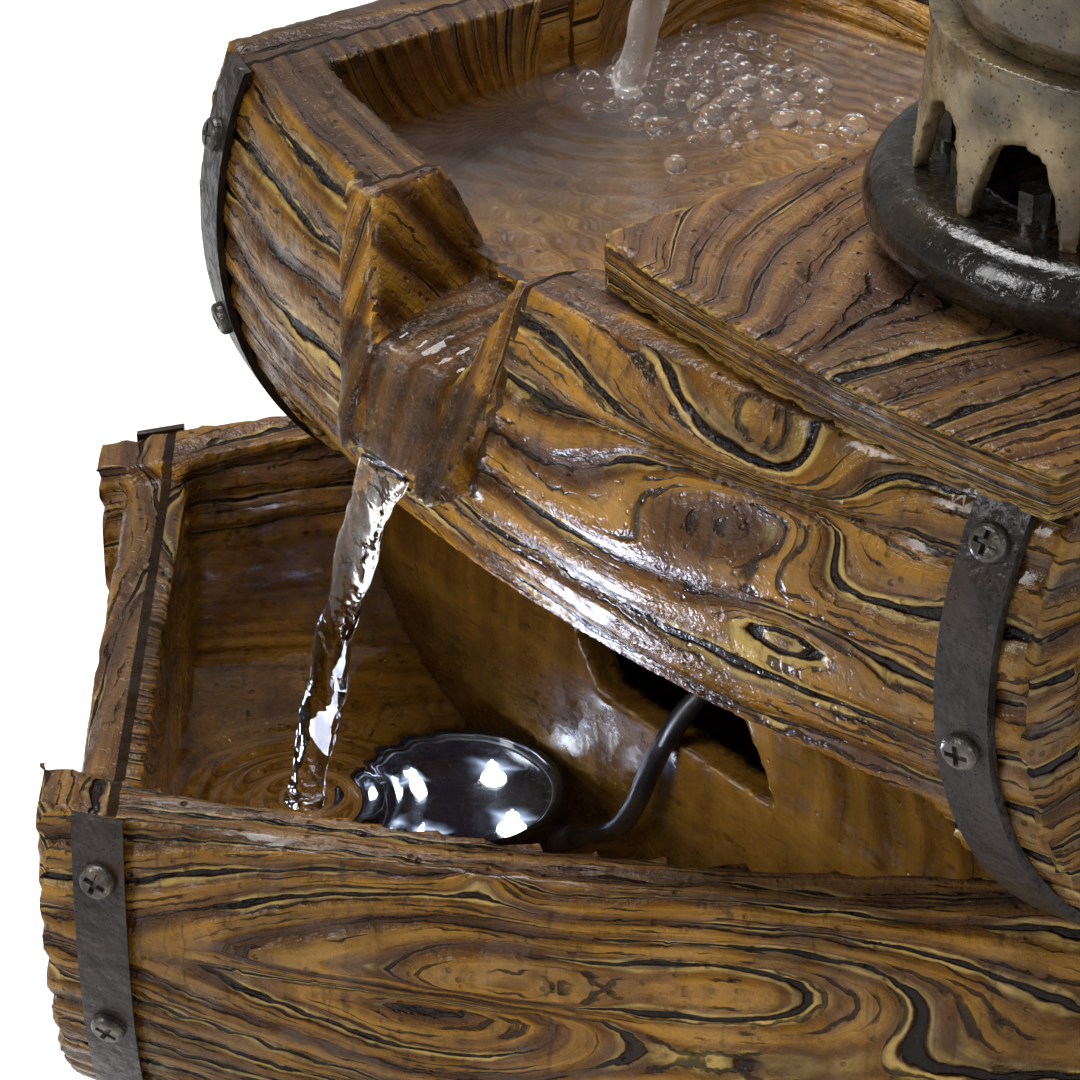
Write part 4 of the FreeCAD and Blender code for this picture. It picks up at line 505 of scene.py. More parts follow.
@dataclass(frozen=True)
class Lamp:
    """Clear domes of the pool light, lit blue-white."""

    name: str = "lit_dome"
    colour: Colour = (0.72, 0.84, 1.0)
    strength: float = 14.0
    spill: Colour = (0.02, 0.024, 0.03)

    def make(self) -> bpy.types.Material:
        """Builds the material."""
        material, graph, shader = new_material(self.name)
        glow = graph.mix(graph.grain(graph.object_space(), 700.0, 1.0), self.colour, (0.95, 0.98, 1.0))
        graph.set(shader, Base_Color=(0.9, 0.94, 1.0), Roughness=0.1, Emission_Strength=self.strength,
                  Emission_Color=graph.mix(graph.rays("Diffuse"), glow, self.spill))
        return material


# ---------------------------------------------------------------- mesh helpers


def new_object(name: str, data: bpy.types.ID) -> bpy.types.Object:
    """Object of its own for some data, in the scene."""
    made = bpy.data.objects.new(name, data)
    bpy.context.scene.collection.objects.link(made)
    return made


def place_mesh(name: str, points: Iterable, faces: list, material: bpy.types.Material,
               upward: bool = False) -> bpy.types.Object:
    """Makes a smooth object at the origin from points and faces, turned to face up if asked."""
    mesh = bpy.data.meshes.new(name)
    mesh.from_pydata([tuple(p) for p in points], [], faces)
    mesh.materials.append(material)
    mesh.polygons.foreach_set("use_smooth", [True] * len(mesh.polygons))
    mesh.update()
    if upward and mesh.polygons[0].normal.z < 0:
        mesh.flip_normals()
    return new_object(name, mesh)


def around(radius: float, turn: float) -> tuple[float, float]:
    """Place on a circle about the origin."""
    return radius * math.cos(turn), radius * math.sin(turn)


def strip_faces(rows: int, columns: int, closed: bool = True) -> list[tuple[int, ...]]:
    """Faces between neighbouring rows of points, closed round or open."""
    return [tuple(r * columns + k % columns for r, k in
                  ((row, first), (row, first + 1), (row + 1, first + 1), (row + 1, first)))
            for row in range(rows - 1) for first in range(columns if closed else columns - 1)]


def read(items: bpy.types.bpy_prop_collection, name: str, wide: int = 1,
         kind: type = np.float64) -> np.ndarray:
    """One property of all items of a mesh, as rows where it is more than one number wide."""
    flat = np.empty(len(items) * wide, kind)
    items.foreach_get(name, flat)
    return flat.reshape(-1, wide) if wide > 1 else flat


def keep_value(mesh: bpy.types.Mesh, name: str, values: np.ndarray) -> None:
    """Keeps one number for each vertex on the mesh."""
    mesh.attributes.new(name, "FLOAT", "POINT").data.foreach_set("value", values.astype(np.float32))


def stand_for(made: bpy.types.Object, node: str) -> None:
    """Lets a piece ride on the fountain in place of its CAD node."""
    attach(made, BODY)
    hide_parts(node)


def baked_copy(source: bpy.types.Object, name: str) -> bpy.types.Object:
    """Plain mesh of an object as its modifiers leave it.

    Args:
        source: The object with modifiers, which is removed afterwards.
        name: Name of the new object.

    Returns:
        The new object, at the origin.
    """
    evaluated = source.evaluated_get(bpy.context.evaluated_depsgraph_get())
    mesh = bpy.data.meshes.new_from_object(evaluated, preserve_all_data_layers=True,
                                           depsgraph=bpy.context.evaluated_depsgraph_get())
    bpy.data.objects.remove(source)
    mesh.name = name
    return new_object(name, mesh)


def skin_of(node: str, name: str, voxel: float) -> bpy.types.Object:
    """Dense even skin over a CAD node, ready to be carved."""
    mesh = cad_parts[node].data.copy()
    joined = bmesh.new()
    joined.from_mesh(mesh)
    bmesh.ops.remove_doubles(joined, verts=joined.verts, dist=SAME_POINT)
    joined.to_mesh(mesh)
    joined.free()
    raw = new_object(name + "_raw", mesh)
    remesh = raw.modifiers.new("skin", "REMESH")
    remesh.mode = "VOXEL"
    remesh.voxel_size = voxel
    remesh.use_smooth_shade = True
    return baked_copy(raw, name)


def neighbour_mean(mesh: bpy.types.Mesh, values: np.ndarray) -> np.ndarray:
    """Mean of each vertex's neighbours."""
    ends = read(mesh.edges, "vertices", 2, np.int64)
    total = np.zeros_like(values)
    count = np.zeros(len(values))
    for a, b in ((0, 1), (1, 0)):
        np.add.at(total, ends[:, a], values[ends[:, b]])
        np.add.at(count, ends[:, a], 1)
    count = np.maximum(count, 1)
    return total / (count[:, None] if values.ndim == 2 else count)


def opened_skin(node: str, name: str, voxel: float, passes: int, keenness: float) -> tuple:
    """Makes the skin that a carving starts from.

    Args:
        node: The CAD node.
        name: The piece's name.
        voxel: Spacing of the skin's points.
        passes: How often the measure of the edges is smoothed.
        keenness: How fast wear grows with the sharpness of an edge.

    Returns:
        The skin's object, its points, their normals and their wear from 0 to 1.
    """
    made = skin_of(node, name, voxel)
    points = read(made.data.vertices, "co", 3)
    normals = read(made.data.vertex_normals, "vector", 3)
    bulge = ((points - neighbour_mean(made.data, points)) * normals).sum(axis=1) / voxel
    for _ in range(passes):
        bulge = 0.5 * bulge + 0.5 * neighbour_mean(made.data, bulge)
    return made, points, normals, np.clip(bulge * keenness, 0, 1)


def close_skin(made: bpy.types.Object, points: np.ndarray, finish: CarvedResin | Patina, node: str,
               slot: str, **values: np.ndarray) -> bpy.types.Object:
    """Ends a carving.

    Args:
        made: The skin.
        points: Where its points go.
        finish: What it is dressed in.
        node: The CAD node that it stands for.
        slot: Its material slot's name; not used.
        values: Numbers that its points keep, by name.

    Returns:
        The same skin, moved, dressed and attached in place of its node.
    """
    mesh = made.data
    mesh.vertices.foreach_set("co", points.ravel())
    for label, part in values.items():
        keep_value(mesh, label, part)
    mesh.update()
    mesh.materials.clear()
    mesh.materials.append(finish.make())
    stand_for(made, node)
    LOG.info("%s: %d faces", made.name, len(mesh.polygons))
    return made


# ---------------------------------------------------------------- the barrels' own measures

UPPER_CENTRE = (-0.045, 0.0034)
UPPER_TURN = math.radians(-52)
COS, SIN = math.cos(UPPER_TURN), math.sin(UPPER_TURN)


def lower_radius(x: np.ndarray) -> np.ndarray:
    """Outer radius of the lower barrel along its axis."""
    return 0.0705 + 0.035 * (1 - (x / 0.2) ** 2)


def upper_bulge(x: np.ndarray) -> np.ndarray:
    """How far the upper barrel's staves swell out along its axis."""
    return 0.0225 * (1 - (x / 0.116) ** 2)


def turned_to_upper(rows: np.ndarray) -> np.ndarray:
    """World directions in the upper barrel's frame."""
    x, y = rows[:, 0], rows[:, 1]
    return np.stack([x * COS + y * SIN, -x * SIN + y * COS, rows[:, 2]], axis=1)


def to_upper(points: np.ndarray) -> np.ndarray:
    """World places in the upper barrel's frame."""
    return turned_to_upper(points - np.array([*UPPER_CENTRE, 0.0]))


def from_upper(x: float, y: float, z: float) -> Vector:
    """World place of a point in the upper barrel's frame."""
    return Vector((UPPER_CENTRE[0] + x * COS - y * SIN, UPPER_CENTRE[1] + x * SIN + y * COS, z))


# ---------------------------------------------------------------- carved pieces


@dataclass(frozen=True)
class Spot:
    """A place in the grain and how far it reaches."""

    along: float
    across: float
    length: float
    width: float

    def reach(self, along: np.ndarray, across: np.ndarray) -> np.ndarray:
        """Square of the distance from its middle, 1 at its edge."""
        return ((along - self.along) / self.length) ** 2 + ((across - self.across) / self.width) ** 2


@dataclass(frozen=True)
class Knot(Spot):
    """An eye in the grain: the carved lines close round it."""

    swell: float


@dataclass(frozen=True)
class Fold(Spot):
    """A seam in the grain where slanting lines meet, like veins on a leaf's rib."""

    slope: float
    seam: float = 0.0018


@dataclass
class Layout:
    """How the grain lies over a set of points."""

    along: np.ndarray
    across: np.ndarray
    strength: np.ndarray
    stain: np.ndarray
    hollow: np.ndarray
    sway: np.ndarray | float = 1.0
    soaked: np.ndarray | float = 0.0


@dataclass
class CarvedPiece:
    """A CAD node recut as a dense skin with grain carved along it."""

    node: str
    name: str
    finish: CarvedResin
    voxel: float = 0.0018
    relief: float = 0.0009
    dent: float = 0.0003
    worn: float = 0.0011
    wander: float = 0.0075
    tremble: float = 0.0017
    seed: int = 3
    knots: tuple[Knot, ...] = ()
    folds: tuple[Fold, ...] = ()

    def lay(self, at: np.ndarray, facing: np.ndarray) -> Layout:
        """Says how the grain lies at each point, given the way its surface faces."""
        raise NotImplementedError

    def contours(self, layout: Layout) -> np.ndarray:
        """Bends the even lines across a surface into grain.

        Args:
            layout: Where each point lies along and across the grain.

        Returns:
            The bent place across the grain, in metres.
        """
        along, across = layout.along, layout.across
        bent = across + self.wander * layout.sway * flat_noise(along / 0.085, across / 0.034, self.seed)
        bent += self.tremble * layout.sway * flat_noise(along / 0.026, across / 0.011, self.seed + 5)
        for knot in self.knots:
            bent += knot.swell * np.exp(-knot.reach(along, across))
        for fold in self.folds:
            side = np.tanh((across - fold.across) / fold.seam)
            lean = along - fold.along + fold.length
            bent -= fold.slope * lean * side * np.exp(-fold.reach(along, across) ** 2)
        return bent

    def build(self) -> bpy.types.Object:
        """Makes the carved skin, gives it its finish and lets it stand for its node."""
        made, points, normals, wear = opened_skin(self.node, self.name, self.voxel, 2, 4.2)
        layout = self.lay(points, normals)
        self.keep_grain(made.data, points)
        away = np.abs((self.contours(layout) / self.finish.spacing) % 1.0 - 0.5)
        depth = self.relief * (1 - smooth(0.02, 0.26, away)) * layout.strength
        depth += self.dent * np.abs(noise(points / 0.011, self.seed + 9, 2))
        depth += self.worn * wear * smooth(-0.1, 0.6, noise(points / 0.006, self.seed + 17, 2))
        return close_skin(made, points - normals * depth[:, None], self.finish, self.node, "resin_wood",
                          wear=wear, strength=layout.strength, stain=layout.stain, hollow=layout.hollow,
                          soaked=layout.soaked + np.zeros(len(points)))

    def keep_grain(self, mesh: bpy.types.Mesh, points: np.ndarray) -> None:
        """Keeps the grain's two coordinates face by face, so that they don't smear at corners."""
        sides = read(mesh.polygons, "loop_total", kind=np.int64)
        corners = read(mesh.loops, "vertex_index", kind=np.int64)
        facing = np.repeat(read(mesh.polygon_normals, "vector", 3), sides, axis=0)
        layout = self.lay(points[corners], facing)
        pairs = np.stack([layout.along, self.contours(layout)], axis=1)
        mesh.uv_layers.new(name="grain").data.foreach_set("uv", pairs.ravel())


@dataclass
class Barrel(CarvedPiece):
    """A half barrel on its side. Its heads' grain is shifted, so that no knot of the staves falls on them."""

    axis: float = 0.080
    rim: float = 0.102
    head_from: float = 0.186
    water: float = 0.076
    wall: float = 0.0085

    def on_head(self, x: np.ndarray, endways: np.ndarray, upward: np.ndarray) -> np.ndarray:
        """Which points lie on the heads, by their place and by how far they face along the barrel and up."""
        return (np.abs(x) > self.head_from) & ((np.abs(endways) > 0.55) | (upward > 0.6))

    def rim_top(self, z: np.ndarray, upward: np.ndarray, below: float) -> np.ndarray:
        """How much each point belongs to the level tops of the rims, from 0 to 1."""
        return smooth(0.72, 0.9, upward) * smooth(self.rim - below, self.rim - 0.003, z)


@dataclass
class LowerBasin(Barrel):
    """Half barrel that holds the lower pool."""

    def lay(self, at: np.ndarray, facing: np.ndarray) -> Layout:
        """Lays the grain along the staves, across the heads and along the rims."""
        x, y, z = at.T
        reach = np.hypot(y, z - self.axis) - lower_radius(x)
        on_head = self.on_head(x, facing[:, 0], facing[:, 2])
        along = np.where(on_head, y * 0.9 + 0.31, x)
        across = np.where(on_head, z + x * 0.8 + 0.7, 0.09 * np.arctan2(y, self.axis - z) + reach)
        inside = reach < -self.wall
        under = inside & (z < self.water + 0.004) & ~on_head
        strength = np.select([under, inside], [0.1, 0.8], 1.0)
        stain = 0.8 * self.rim_top(z, facing[:, 2], 0.007)
        hollow = np.select([under, inside & (z < self.rim - 0.004)], [1.0, 0.5], 0.0)
        return Layout(along, across, strength, stain, hollow)


@dataclass
class UpperBarrel(Barrel):
    """Half barrel turned across the lower one, with the spill chute on its front."""

    axis: float = 0.165
    rim: float = 0.197
    head_from: float = 0.104
    water: float = 0.180
    tube: float = 0.0715
    sill: float = 0.175
    chute_sides: tuple[float, float] = (-0.0545, 0.0115)
    notch_sides: tuple[float, float] = (-0.047, 0.002)
    chute_back: float = -0.062
    chute_foot: float = 0.1535
    proud: float = 0.0012

    def lay(self, at: np.ndarray, facing: np.ndarray) -> Layout:
        """Lays the grain along the staves, across the heads and down the chute."""
        x, y, z = to_upper(at).T
        nx, _, nz = turned_to_upper(facing).T
        out = np.maximum(np.abs(y) - upper_bulge(x), 0.0001)
        reach = np.hypot(out, z - self.axis) - self.tube
        on_head = self.on_head(x, nx, nz)
        chute = (x > self.chute_sides[0]) & (x < self.chute_sides[1]) & (y < self.chute_back)
        chute &= z > self.chute_foot
        notch = (x > self.notch_sides[0]) & (x < self.notch_sides[1]) & (z > self.sill - 0.004)
        chute &= (reach > self.proud) | (notch & (reach < self.proud))
        jamb = chute & (np.abs(nx) > 0.6)
        bed = chute & ~jamb & (z < self.sill + 0.003)
        staves = self.tube * np.arctan2(out, self.axis - z) * np.sign(y) + reach
        along = np.select([jamb, chute, on_head], [z * 0.85 - y * 0.5 + 0.2, z - y + 0.2, y + 0.41], x)
        across = np.select([jamb, chute, on_head], [z * 0.5 + y * 0.85, x * 1.2, z + x * 0.8], staves)
        inside = (reach < -self.wall) & (z > 0.14) & ~chute
        under = inside & (z < self.water + 0.003) & ~on_head
        rim = self.rim_top(z, facing[:, 2], 0.006)
        strength = np.select([under, inside, bed, chute], [0.2, 0.7, 0.12, 0.4], 1.0) * (1 - 0.6 * rim)
        hollow = np.where(inside & (z < self.rim - 0.004), 0.8, 0.0)
        return Layout(along, across, strength, stain=rim * np.where(x < 0.02, 1.0, 0.4), hollow=hollow,
                      soaked=np.where(bed, 0.8, 0.0))


@dataclass
class Stand(CarvedPiece):
    """Hollow stand that rises through the lower pool to carry the upper barrel."""

    def lay(self, at: np.ndarray, facing: np.ndarray) -> Layout:
        """Lays faint upright streaks over the walls."""
        x, y, z = to_upper(at).T
        nx, ny, nz = turned_to_upper(facing).T
        level = np.abs(nz) > 0.7
        side = np.abs(nx) > np.abs(ny)
        along = np.where(level, x, z + 0.5)
        across = np.where(level, y, np.where(side, y + 0.1, x))
        strength = np.full(len(z), 0.22)
        blank = np.zeros(len(z))
        return Layout(along, across, strength, blank, np.where(z < 0.078, 0.8, 0.35))


@dataclass
class Lid(CarvedPiece):
    """Plank lid that carries the pump."""

    front_edge: float = -0.0755
    lean_from: float = 0.030
    lean_to: float = 0.085

    def lay(self, at: np.ndarray, facing: np.ndarray) -> Layout:
        """Lays the grain along the planks on top and along the band at the edge."""
        x, y, z = to_upper(at).T
        nx, ny, nz = turned_to_upper(facing).T
        front = (np.abs(nz) < 0.6) & (np.abs(ny) > np.abs(nx))
        side = (np.abs(nz) < 0.6) & ~front
        inward = np.maximum(y - self.front_edge, 0)
        lean = 1 - smooth(self.lean_from, self.lean_to, x)
        fan = x + lean * 0.034 * (1 - np.exp(-inward / 0.03)) - (1 - lean) * 0.14 * inward
        along = np.where(front, x, y)
        across = np.where(front | side, z * 4.2 + 0.3, fan + 0.05)
        strength = np.where(front, 1.3, 0.5 + 0.5 * smooth(0.04, 0.08, x))
        blank = np.zeros(len(z))
        stain = 0.72 * smooth(0.8, 0.95, facing[:, 2])
        return Layout(along, across, strength, stain, blank, np.where(front | side, 0.22, 0.7))


# ---------------------------------------------------------------- pump skins


@dataclass
class CastSkin:
    """A pump casting recut as a dense skin with dents and worn edges."""

    node: str
    name: str
    slot: str
    finish: Patina
    voxel: float = 0.0012
    dent: float = 0.0006
    worn: float = 0.0006
    seed: int = 41

    def build(self) -> bpy.types.Object:
        """Makes the dented skin and lets it stand for its node."""
        made, points, normals, wear = opened_skin(self.node, self.name, self.voxel, 1, 4.0)
        depth = self.dent * (0.5 + 0.5 * noise(points / 0.009, self.seed, 3))
        depth += self.worn * wear * smooth(0.0, 0.6, noise(points / 0.004, self.seed + 3, 2))
        depth *= 1 - smooth(0.5, 0.9, np.abs(normals[:, 2]))
        return close_skin(made, points - normals * depth[:, None], self.finish, self.node, self.slot,
                          wear=wear)


# ---------------------------------------------------------------- screws and bubbles by Geometry Nodes


def wire(tree: bpy.types.NodeTree, *pairs: tuple[Socket, Socket]) -> None:
    """Links pairs of sockets."""
    for start, end in pairs:
        tree.links.new(start, end)


def scatter_tree(name: str, extra: dict[str, tuple[str, float | None]],
                 material: bpy.types.Material) -> tuple:
    """Starts Geometry Nodes that set something on each point, make it real and give it a material.

    Args:
        name: The tree's name.
        extra: Kind and first value of each input besides the geometry.
        material: The material of what is set.

    Returns:
        The tree, its input node and the node that sets the instances.
    """
    tree = bpy.data.node_groups.new(name, "GeometryNodeTree")
    new = tree.interface.new_socket
    new("Geometry", in_out="INPUT", socket_type="NodeSocketGeometry")
    for label, (kind, start) in extra.items():
        made = new(label, in_out="INPUT", socket_type="NodeSocket" + kind)
        if start is not None:
            made.default_value = start
    new("Geometry", in_out="OUTPUT", socket_type="NodeSocketGeometry")
    source, points, setting, real, dress, sink = map(tree.nodes.new, (
        "NodeGroupInput", "GeometryNodeMeshToPoints", "GeometryNodeInstanceOnPoints",
        "GeometryNodeRealizeInstances", "GeometryNodeSetMaterial", "NodeGroupOutput"))
    dress.inputs["Material"].default_value = material
    wire(tree, (source.outputs["Geometry"], points.inputs["Mesh"]),
         (points.outputs[0], setting.inputs["Points"]),
         (setting.outputs[0], real.inputs[0]), (real.outputs[0], dress.inputs["Geometry"]),
         (dress.outputs[0], sink.inputs[0]))
    return tree, source, setting


def scattered(name: str, places: Iterable, label: str, values: np.ndarray, tree: bpy.types.NodeTree,
              **inputs: object) -> bpy.types.Object:
    """Mesh that a scatter tree makes on points.

    Args:
        name: Name of the new object.
        places: The points.
        label: Name of the number or vector that each point keeps.
        values: Those numbers, or rows of three.
        tree: The scatter tree.
        inputs: Values of the tree's inputs.

    Returns:
        The new object, at the origin.
    """
    mesh = bpy.data.meshes.new(name + "_places")
    mesh.from_pydata([tuple(place) for place in places], [], [])
    kind, entry = ("FLOAT", "value") if values.ndim == 1 else ("FLOAT_VECTOR", "vector")
    mesh.attributes.new(label, kind, "POINT").data.foreach_set(entry, values.astype(np.float32).ravel())
    base = new_object(name + "_places", mesh)
    modifier = base.modifiers.new("setting", "NODES")
    modifier.node_group = tree
    for item in tree.interface.items_tree:
        if item.in_out == "INPUT" and item.name in inputs:
            modifier[item.identifier] = inputs[item.name]
    return baked_copy(base, name)


@dataclass
class BandScrews:
    """Pan-head screws with crossed slots, set where the CAD node has them."""

    node: str
    name: str
    finish: Patina
    radius: float = 0.0033
    height: float = 0.0019
    slot_half: float = 0.0005
    slot_reach: float = 0.0021
    slot_depth: float = 0.0009
    seed: int = 12

    def islands(self) -> list[np.ndarray]:
        """Vertex places of each loose screw in the CAD node."""
        joined = bmesh.new()
        joined.from_mesh(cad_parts[self.node].data)
        bmesh.ops.remove_doubles(joined, verts=joined.verts, dist=SAME_POINT)
        joined.verts.ensure_lookup_table()
        seen: set[int] = set()
        found = []
        for start in joined.verts:
            if start.index in seen:
                continue
            stack, group = [start], []
            seen.add(start.index)
            while stack:
                vertex = stack.pop()
                group.append(tuple(vertex.co))
                for edge in vertex.link_edges:
                    other = edge.other_vert(vertex)
                    if other.index not in seen:
                        seen.add(other.index)
                        stack.append(other)
            found.append(np.array(group))
        joined.free()
        return found

    def places(self) -> tuple[list[Vector], list[Vector]]:
        """Seat and outward direction of each screw, read from its CAD form."""
        seats, ways = [], []
        for group in self.islands():
            centre = group.mean(axis=0)
            _, _, axes = np.linalg.svd(group - centre)
            reach = (group - centre) @ axes.T
            spread = [np.ptp(reach[:, k]) for k in range(3)]
            axis = axes[int(np.argmax(spread))]
            height = (group - centre) @ axis
            wide = np.linalg.norm(group - centre - np.outer(height, axis), axis=1)
            if height[wide > wide.max() * 0.8].mean() < 0:
                axis, height = -axis, -height
            head = height[wide > wide.max() * 0.9].min()
            seats.append(Vector(centre + axis * head))
            ways.append(Vector(axis))
        return seats, ways

    def head(self) -> bpy.types.Object:
        """One screw head with a domed top and a crossed slot, standing on the origin along Z."""
        made = bmesh.new()
        steps = 32
        turns = [2 * math.pi * k / steps for k in range(steps)]
        profile = ((0.0, 1.0), (0.55, 1.0), (0.8, 0.93), (1.0, 0.78))
        rings = []
        for level, share in profile:
            rings += [made.verts.new((*around(self.radius * share, turn), level * self.height))
                      for turn in turns]
        for face in strip_faces(len(profile), steps):
            made.faces.new([rings[corner] for corner in face])
        made.faces.new(list(reversed(rings[:steps])))
        a, b = self.slot_half, self.slot_reach
        cross = [(a, a), (a, b), (-a, b), (-a, a), (-b, a), (-b, -a),
                 (-a, -a), (-a, -b), (a, -b), (a, -a), (b, -a), (b, a)]
        count = len(cross)
        top = self.height * 1.03
        slot = [made.verts.new((x, y, top)) for x, y in cross]
        slot += [made.verts.new((x * 0.8, y * 0.8, top - self.slot_depth)) for x, y in cross]
        mouth, floor, rim = slot[:count], slot[count:], rings[-steps:]
        edges = [made.edges.new((mouth[k], mouth[(k + 1) % count])) for k in range(count)]
        edges += [made.edges.get((rim[k], rim[(k + 1) % steps])) for k in range(steps)]
        bmesh.ops.triangle_fill(made, use_beauty=True, use_dissolve=False, edges=edges)
        inner = [face for face in made.faces if all(v in mouth for v in face.verts)]
        bmesh.ops.delete(made, geom=inner, context="FACES_ONLY")
        for face in strip_faces(2, count):
            made.faces.new([slot[corner] for corner in face])
        edges = [made.edges.get((floor[k], floor[(k + 1) % count])) for k in range(count)]
        bmesh.ops.triangle_fill(made, use_beauty=True, use_dissolve=False, edges=edges)
        bmesh.ops.recalc_face_normals(made, faces=made.faces)
        mesh = bpy.data.meshes.new(self.name + "_head")
        made.to_mesh(mesh)
        made.free()
        return bpy.data.objects.new(self.name + "_head", mesh)

    def tree(self, material: bpy.types.Material) -> bpy.types.NodeTree:
        """Geometry Nodes that set one head on each place, turned at random about its own axis."""
        tree, source, setting = scatter_tree(
            self.name + "_setting", {"Screw": ("Object", None), "Size": ("Float", 1.0)}, material)
        screw, facing, align, turn, spin, about = map(tree.nodes.new, (
            "GeometryNodeObjectInfo", "GeometryNodeInputNamedAttribute", "FunctionNodeAlignRotationToVector",
            "FunctionNodeRandomValue", "ShaderNodeCombineXYZ", "FunctionNodeRotateRotation"))
        facing.data_type = "FLOAT_VECTOR"
        facing.inputs["Name"].default_value = "facing"
        align.axis = "Z"
        turn.data_type = "FLOAT"
        turn.inputs["Max"].default_value = math.pi
        turn.inputs["Seed"].default_value = self.seed
        about.rotation_space = "LOCAL"
        wire(tree, (source.outputs["Screw"], screw.inputs["Object"]),
             (screw.outputs["Geometry"], setting.inputs["Instance"]),
             (facing.outputs["Attribute"], align.inputs["Vector"]), (turn.outputs[1], spin.inputs["Z"]),
             (align.outputs["Rotation"], about.inputs["Rotation"]),
             (spin.outputs[0], about.inputs["Rotate By"]), (about.outputs[0], setting.inputs["Rotation"]),
             (source.outputs["Size"], setting.inputs["Scale"]))
        return tree

    def build(self) -> bpy.types.Object:
        """Sets all screws and lets them stand for their node."""
        seats, ways = self.places()
        head = self.head()
        made = scattered(self.name, seats, "facing", np.array(ways), self.tree(self.finish.make()),
                         Screw=head, Size=1.0)
        bpy.data.objects.remove(head)
        keep_value(made.data, "wear", np.zeros(len(made.data.vertices)))
        stand_for(made, self.node)
        LOG.info("%s: %d screws", self.name, len(seats))
        return made


# ---------------------------------------------------------------- cable of the pool light


@dataclass
class LightCable:
    """Round cable from the pool light over the sill into the stand."""

    diameter: float = 0.0045
    length: float = 0.1347
    route: tuple[tuple[float, float, float], ...] = (
        (-0.1027, -0.0004, 0.0267), (-0.0959, -0.0057, 0.0335), (-0.0910, -0.0060, 0.0475),
        (-0.0887, -0.0069, 0.0640), (-0.0848, -0.0071, 0.0805), (-0.0723, -0.0039, 0.0915),
        (-0.0533, -0.0006, 0.0970), (-0.0331, -0.0038, 0.1000), (-0.0165, -0.0136, 0.1000))

    def build(self) -> bpy.types.Object:
        curve = bpy.data.curves.new("pool_light_cable", "CURVE")
        curve.dimensions = "3D"
        curve.bevel_depth = self.diameter / 2
        curve.bevel_resolution = 8
        curve.resolution_u = 16
        curve.use_fill_caps = True
        spline = curve.splines.new("NURBS")
        spline.points.add(len(self.route) - 1)
        for point, place in zip(spline.points, self.route):
            point.co = (*place, 1.0)
        spline.order_u = 3
        spline.use_endpoint_u = True
        sheath = Moulded("cable_sheath", srgb(14, 15, 17), srgb(30, 31, 33), 0.32, 500.0)
        curve.materials.append(sheath.make())
        made = new_object("pool_light_cable", curve)
        stand_for(made, "light_cable")
        LOG.info("pool light cable: %.1f mm long", self.length / MM)
        return made


# ---------------------------------------------------------------- water, shown but not part of the object


@dataclass(frozen=True)
class Water:
    """Clear water that refracts and lets the lamps' light through, with an optional painted reflection mixed
    in swirls.
    """

    name: str
    painted_reflection: float = 0.0
    painted_reflection_colour: Colour = srgb(112, 102, 99)
    ripple: float = 0.0002
    scale: float = 60.0
    rough: float = 0.0

    def make(self) -> bpy.types.Material:
        """Builds the material."""
        material, graph, shader = new_material(self.name)
        place = graph.object_space()
        graph.set(shader, Base_Color=WHITE, Transmission_Weight=1.0, IOR=1.333, Roughness=self.rough,
                  Normal=graph.bump(graph.grain(place, self.scale, 2.0), self.ripple))
        surface = Value(graph, shader.outputs[0])
        # Painted reflection: a diffuse grey or white coat mixed into the water in swirls, standing in for the
        # blurred reflections on its surface.
        if self.painted_reflection > 0:
            reflection_sheet = graph.out("ShaderNodeBsdfPrincipled", Base_Color=self.painted_reflection_colour, Roughness=0.12)
            swirl = graph.span(graph.grain(place, 24.0, 5.0, 0.6), 0.32, 0.68, self.painted_reflection * 0.25, self.painted_reflection)
            surface = graph.blend(swirl, surface, reflection_sheet)
        through = graph.out("ShaderNodeBsdfTransparent")
        graph.show(graph.blend(graph.rays("Shadow", "Diffuse"), surface, through))
        return material


def sheet_noise(xs: np.ndarray, ys: np.ndarray, cell: float, seed: int, octaves: int) -> np.ndarray:
    """Smooth noise over a grid, one unit to a cell."""
    flat = np.stack([xs.ravel() / cell, ys.ravel() / cell, np.zeros(xs.size)], axis=1)
    return noise(flat, seed, octaves).reshape(xs.shape)


def sheet_of(name: str, xs: np.ndarray, ys: np.ndarray, wet: np.ndarray, heights: np.ndarray,
             material: bpy.types.Material) -> bpy.types.Object:
    """Water surface over the wet part of a grid.

    Args:
        name: Name of the sheet.
        xs: World X of each grid point, rows by columns.
        ys: World Y of each grid point.
        wet: Which grid points the water covers.
        heights: World Z of each grid point.
        material: The water.

    Returns:
        The sheet.
    """
    rows, columns = xs.shape
    number = np.arange(rows * columns).reshape(rows, columns)
    whole = wet[:-1, :-1] & wet[1:, :-1] & wet[1:, 1:] & wet[:-1, 1:]
    r, c = np.nonzero(whole)
    faces = np.stack([number[r, c], number[r, c + 1], number[r + 1, c + 1], number[r + 1, c]], axis=1)
    used, inverse = np.unique(faces, return_inverse=True)
    points = np.stack([xs.ravel(), ys.ravel(), heights.ravel()], axis=1)[used]
    made = place_mesh(name, points, inverse.reshape(-1, 4).tolist(), material, upward=True)
    return made


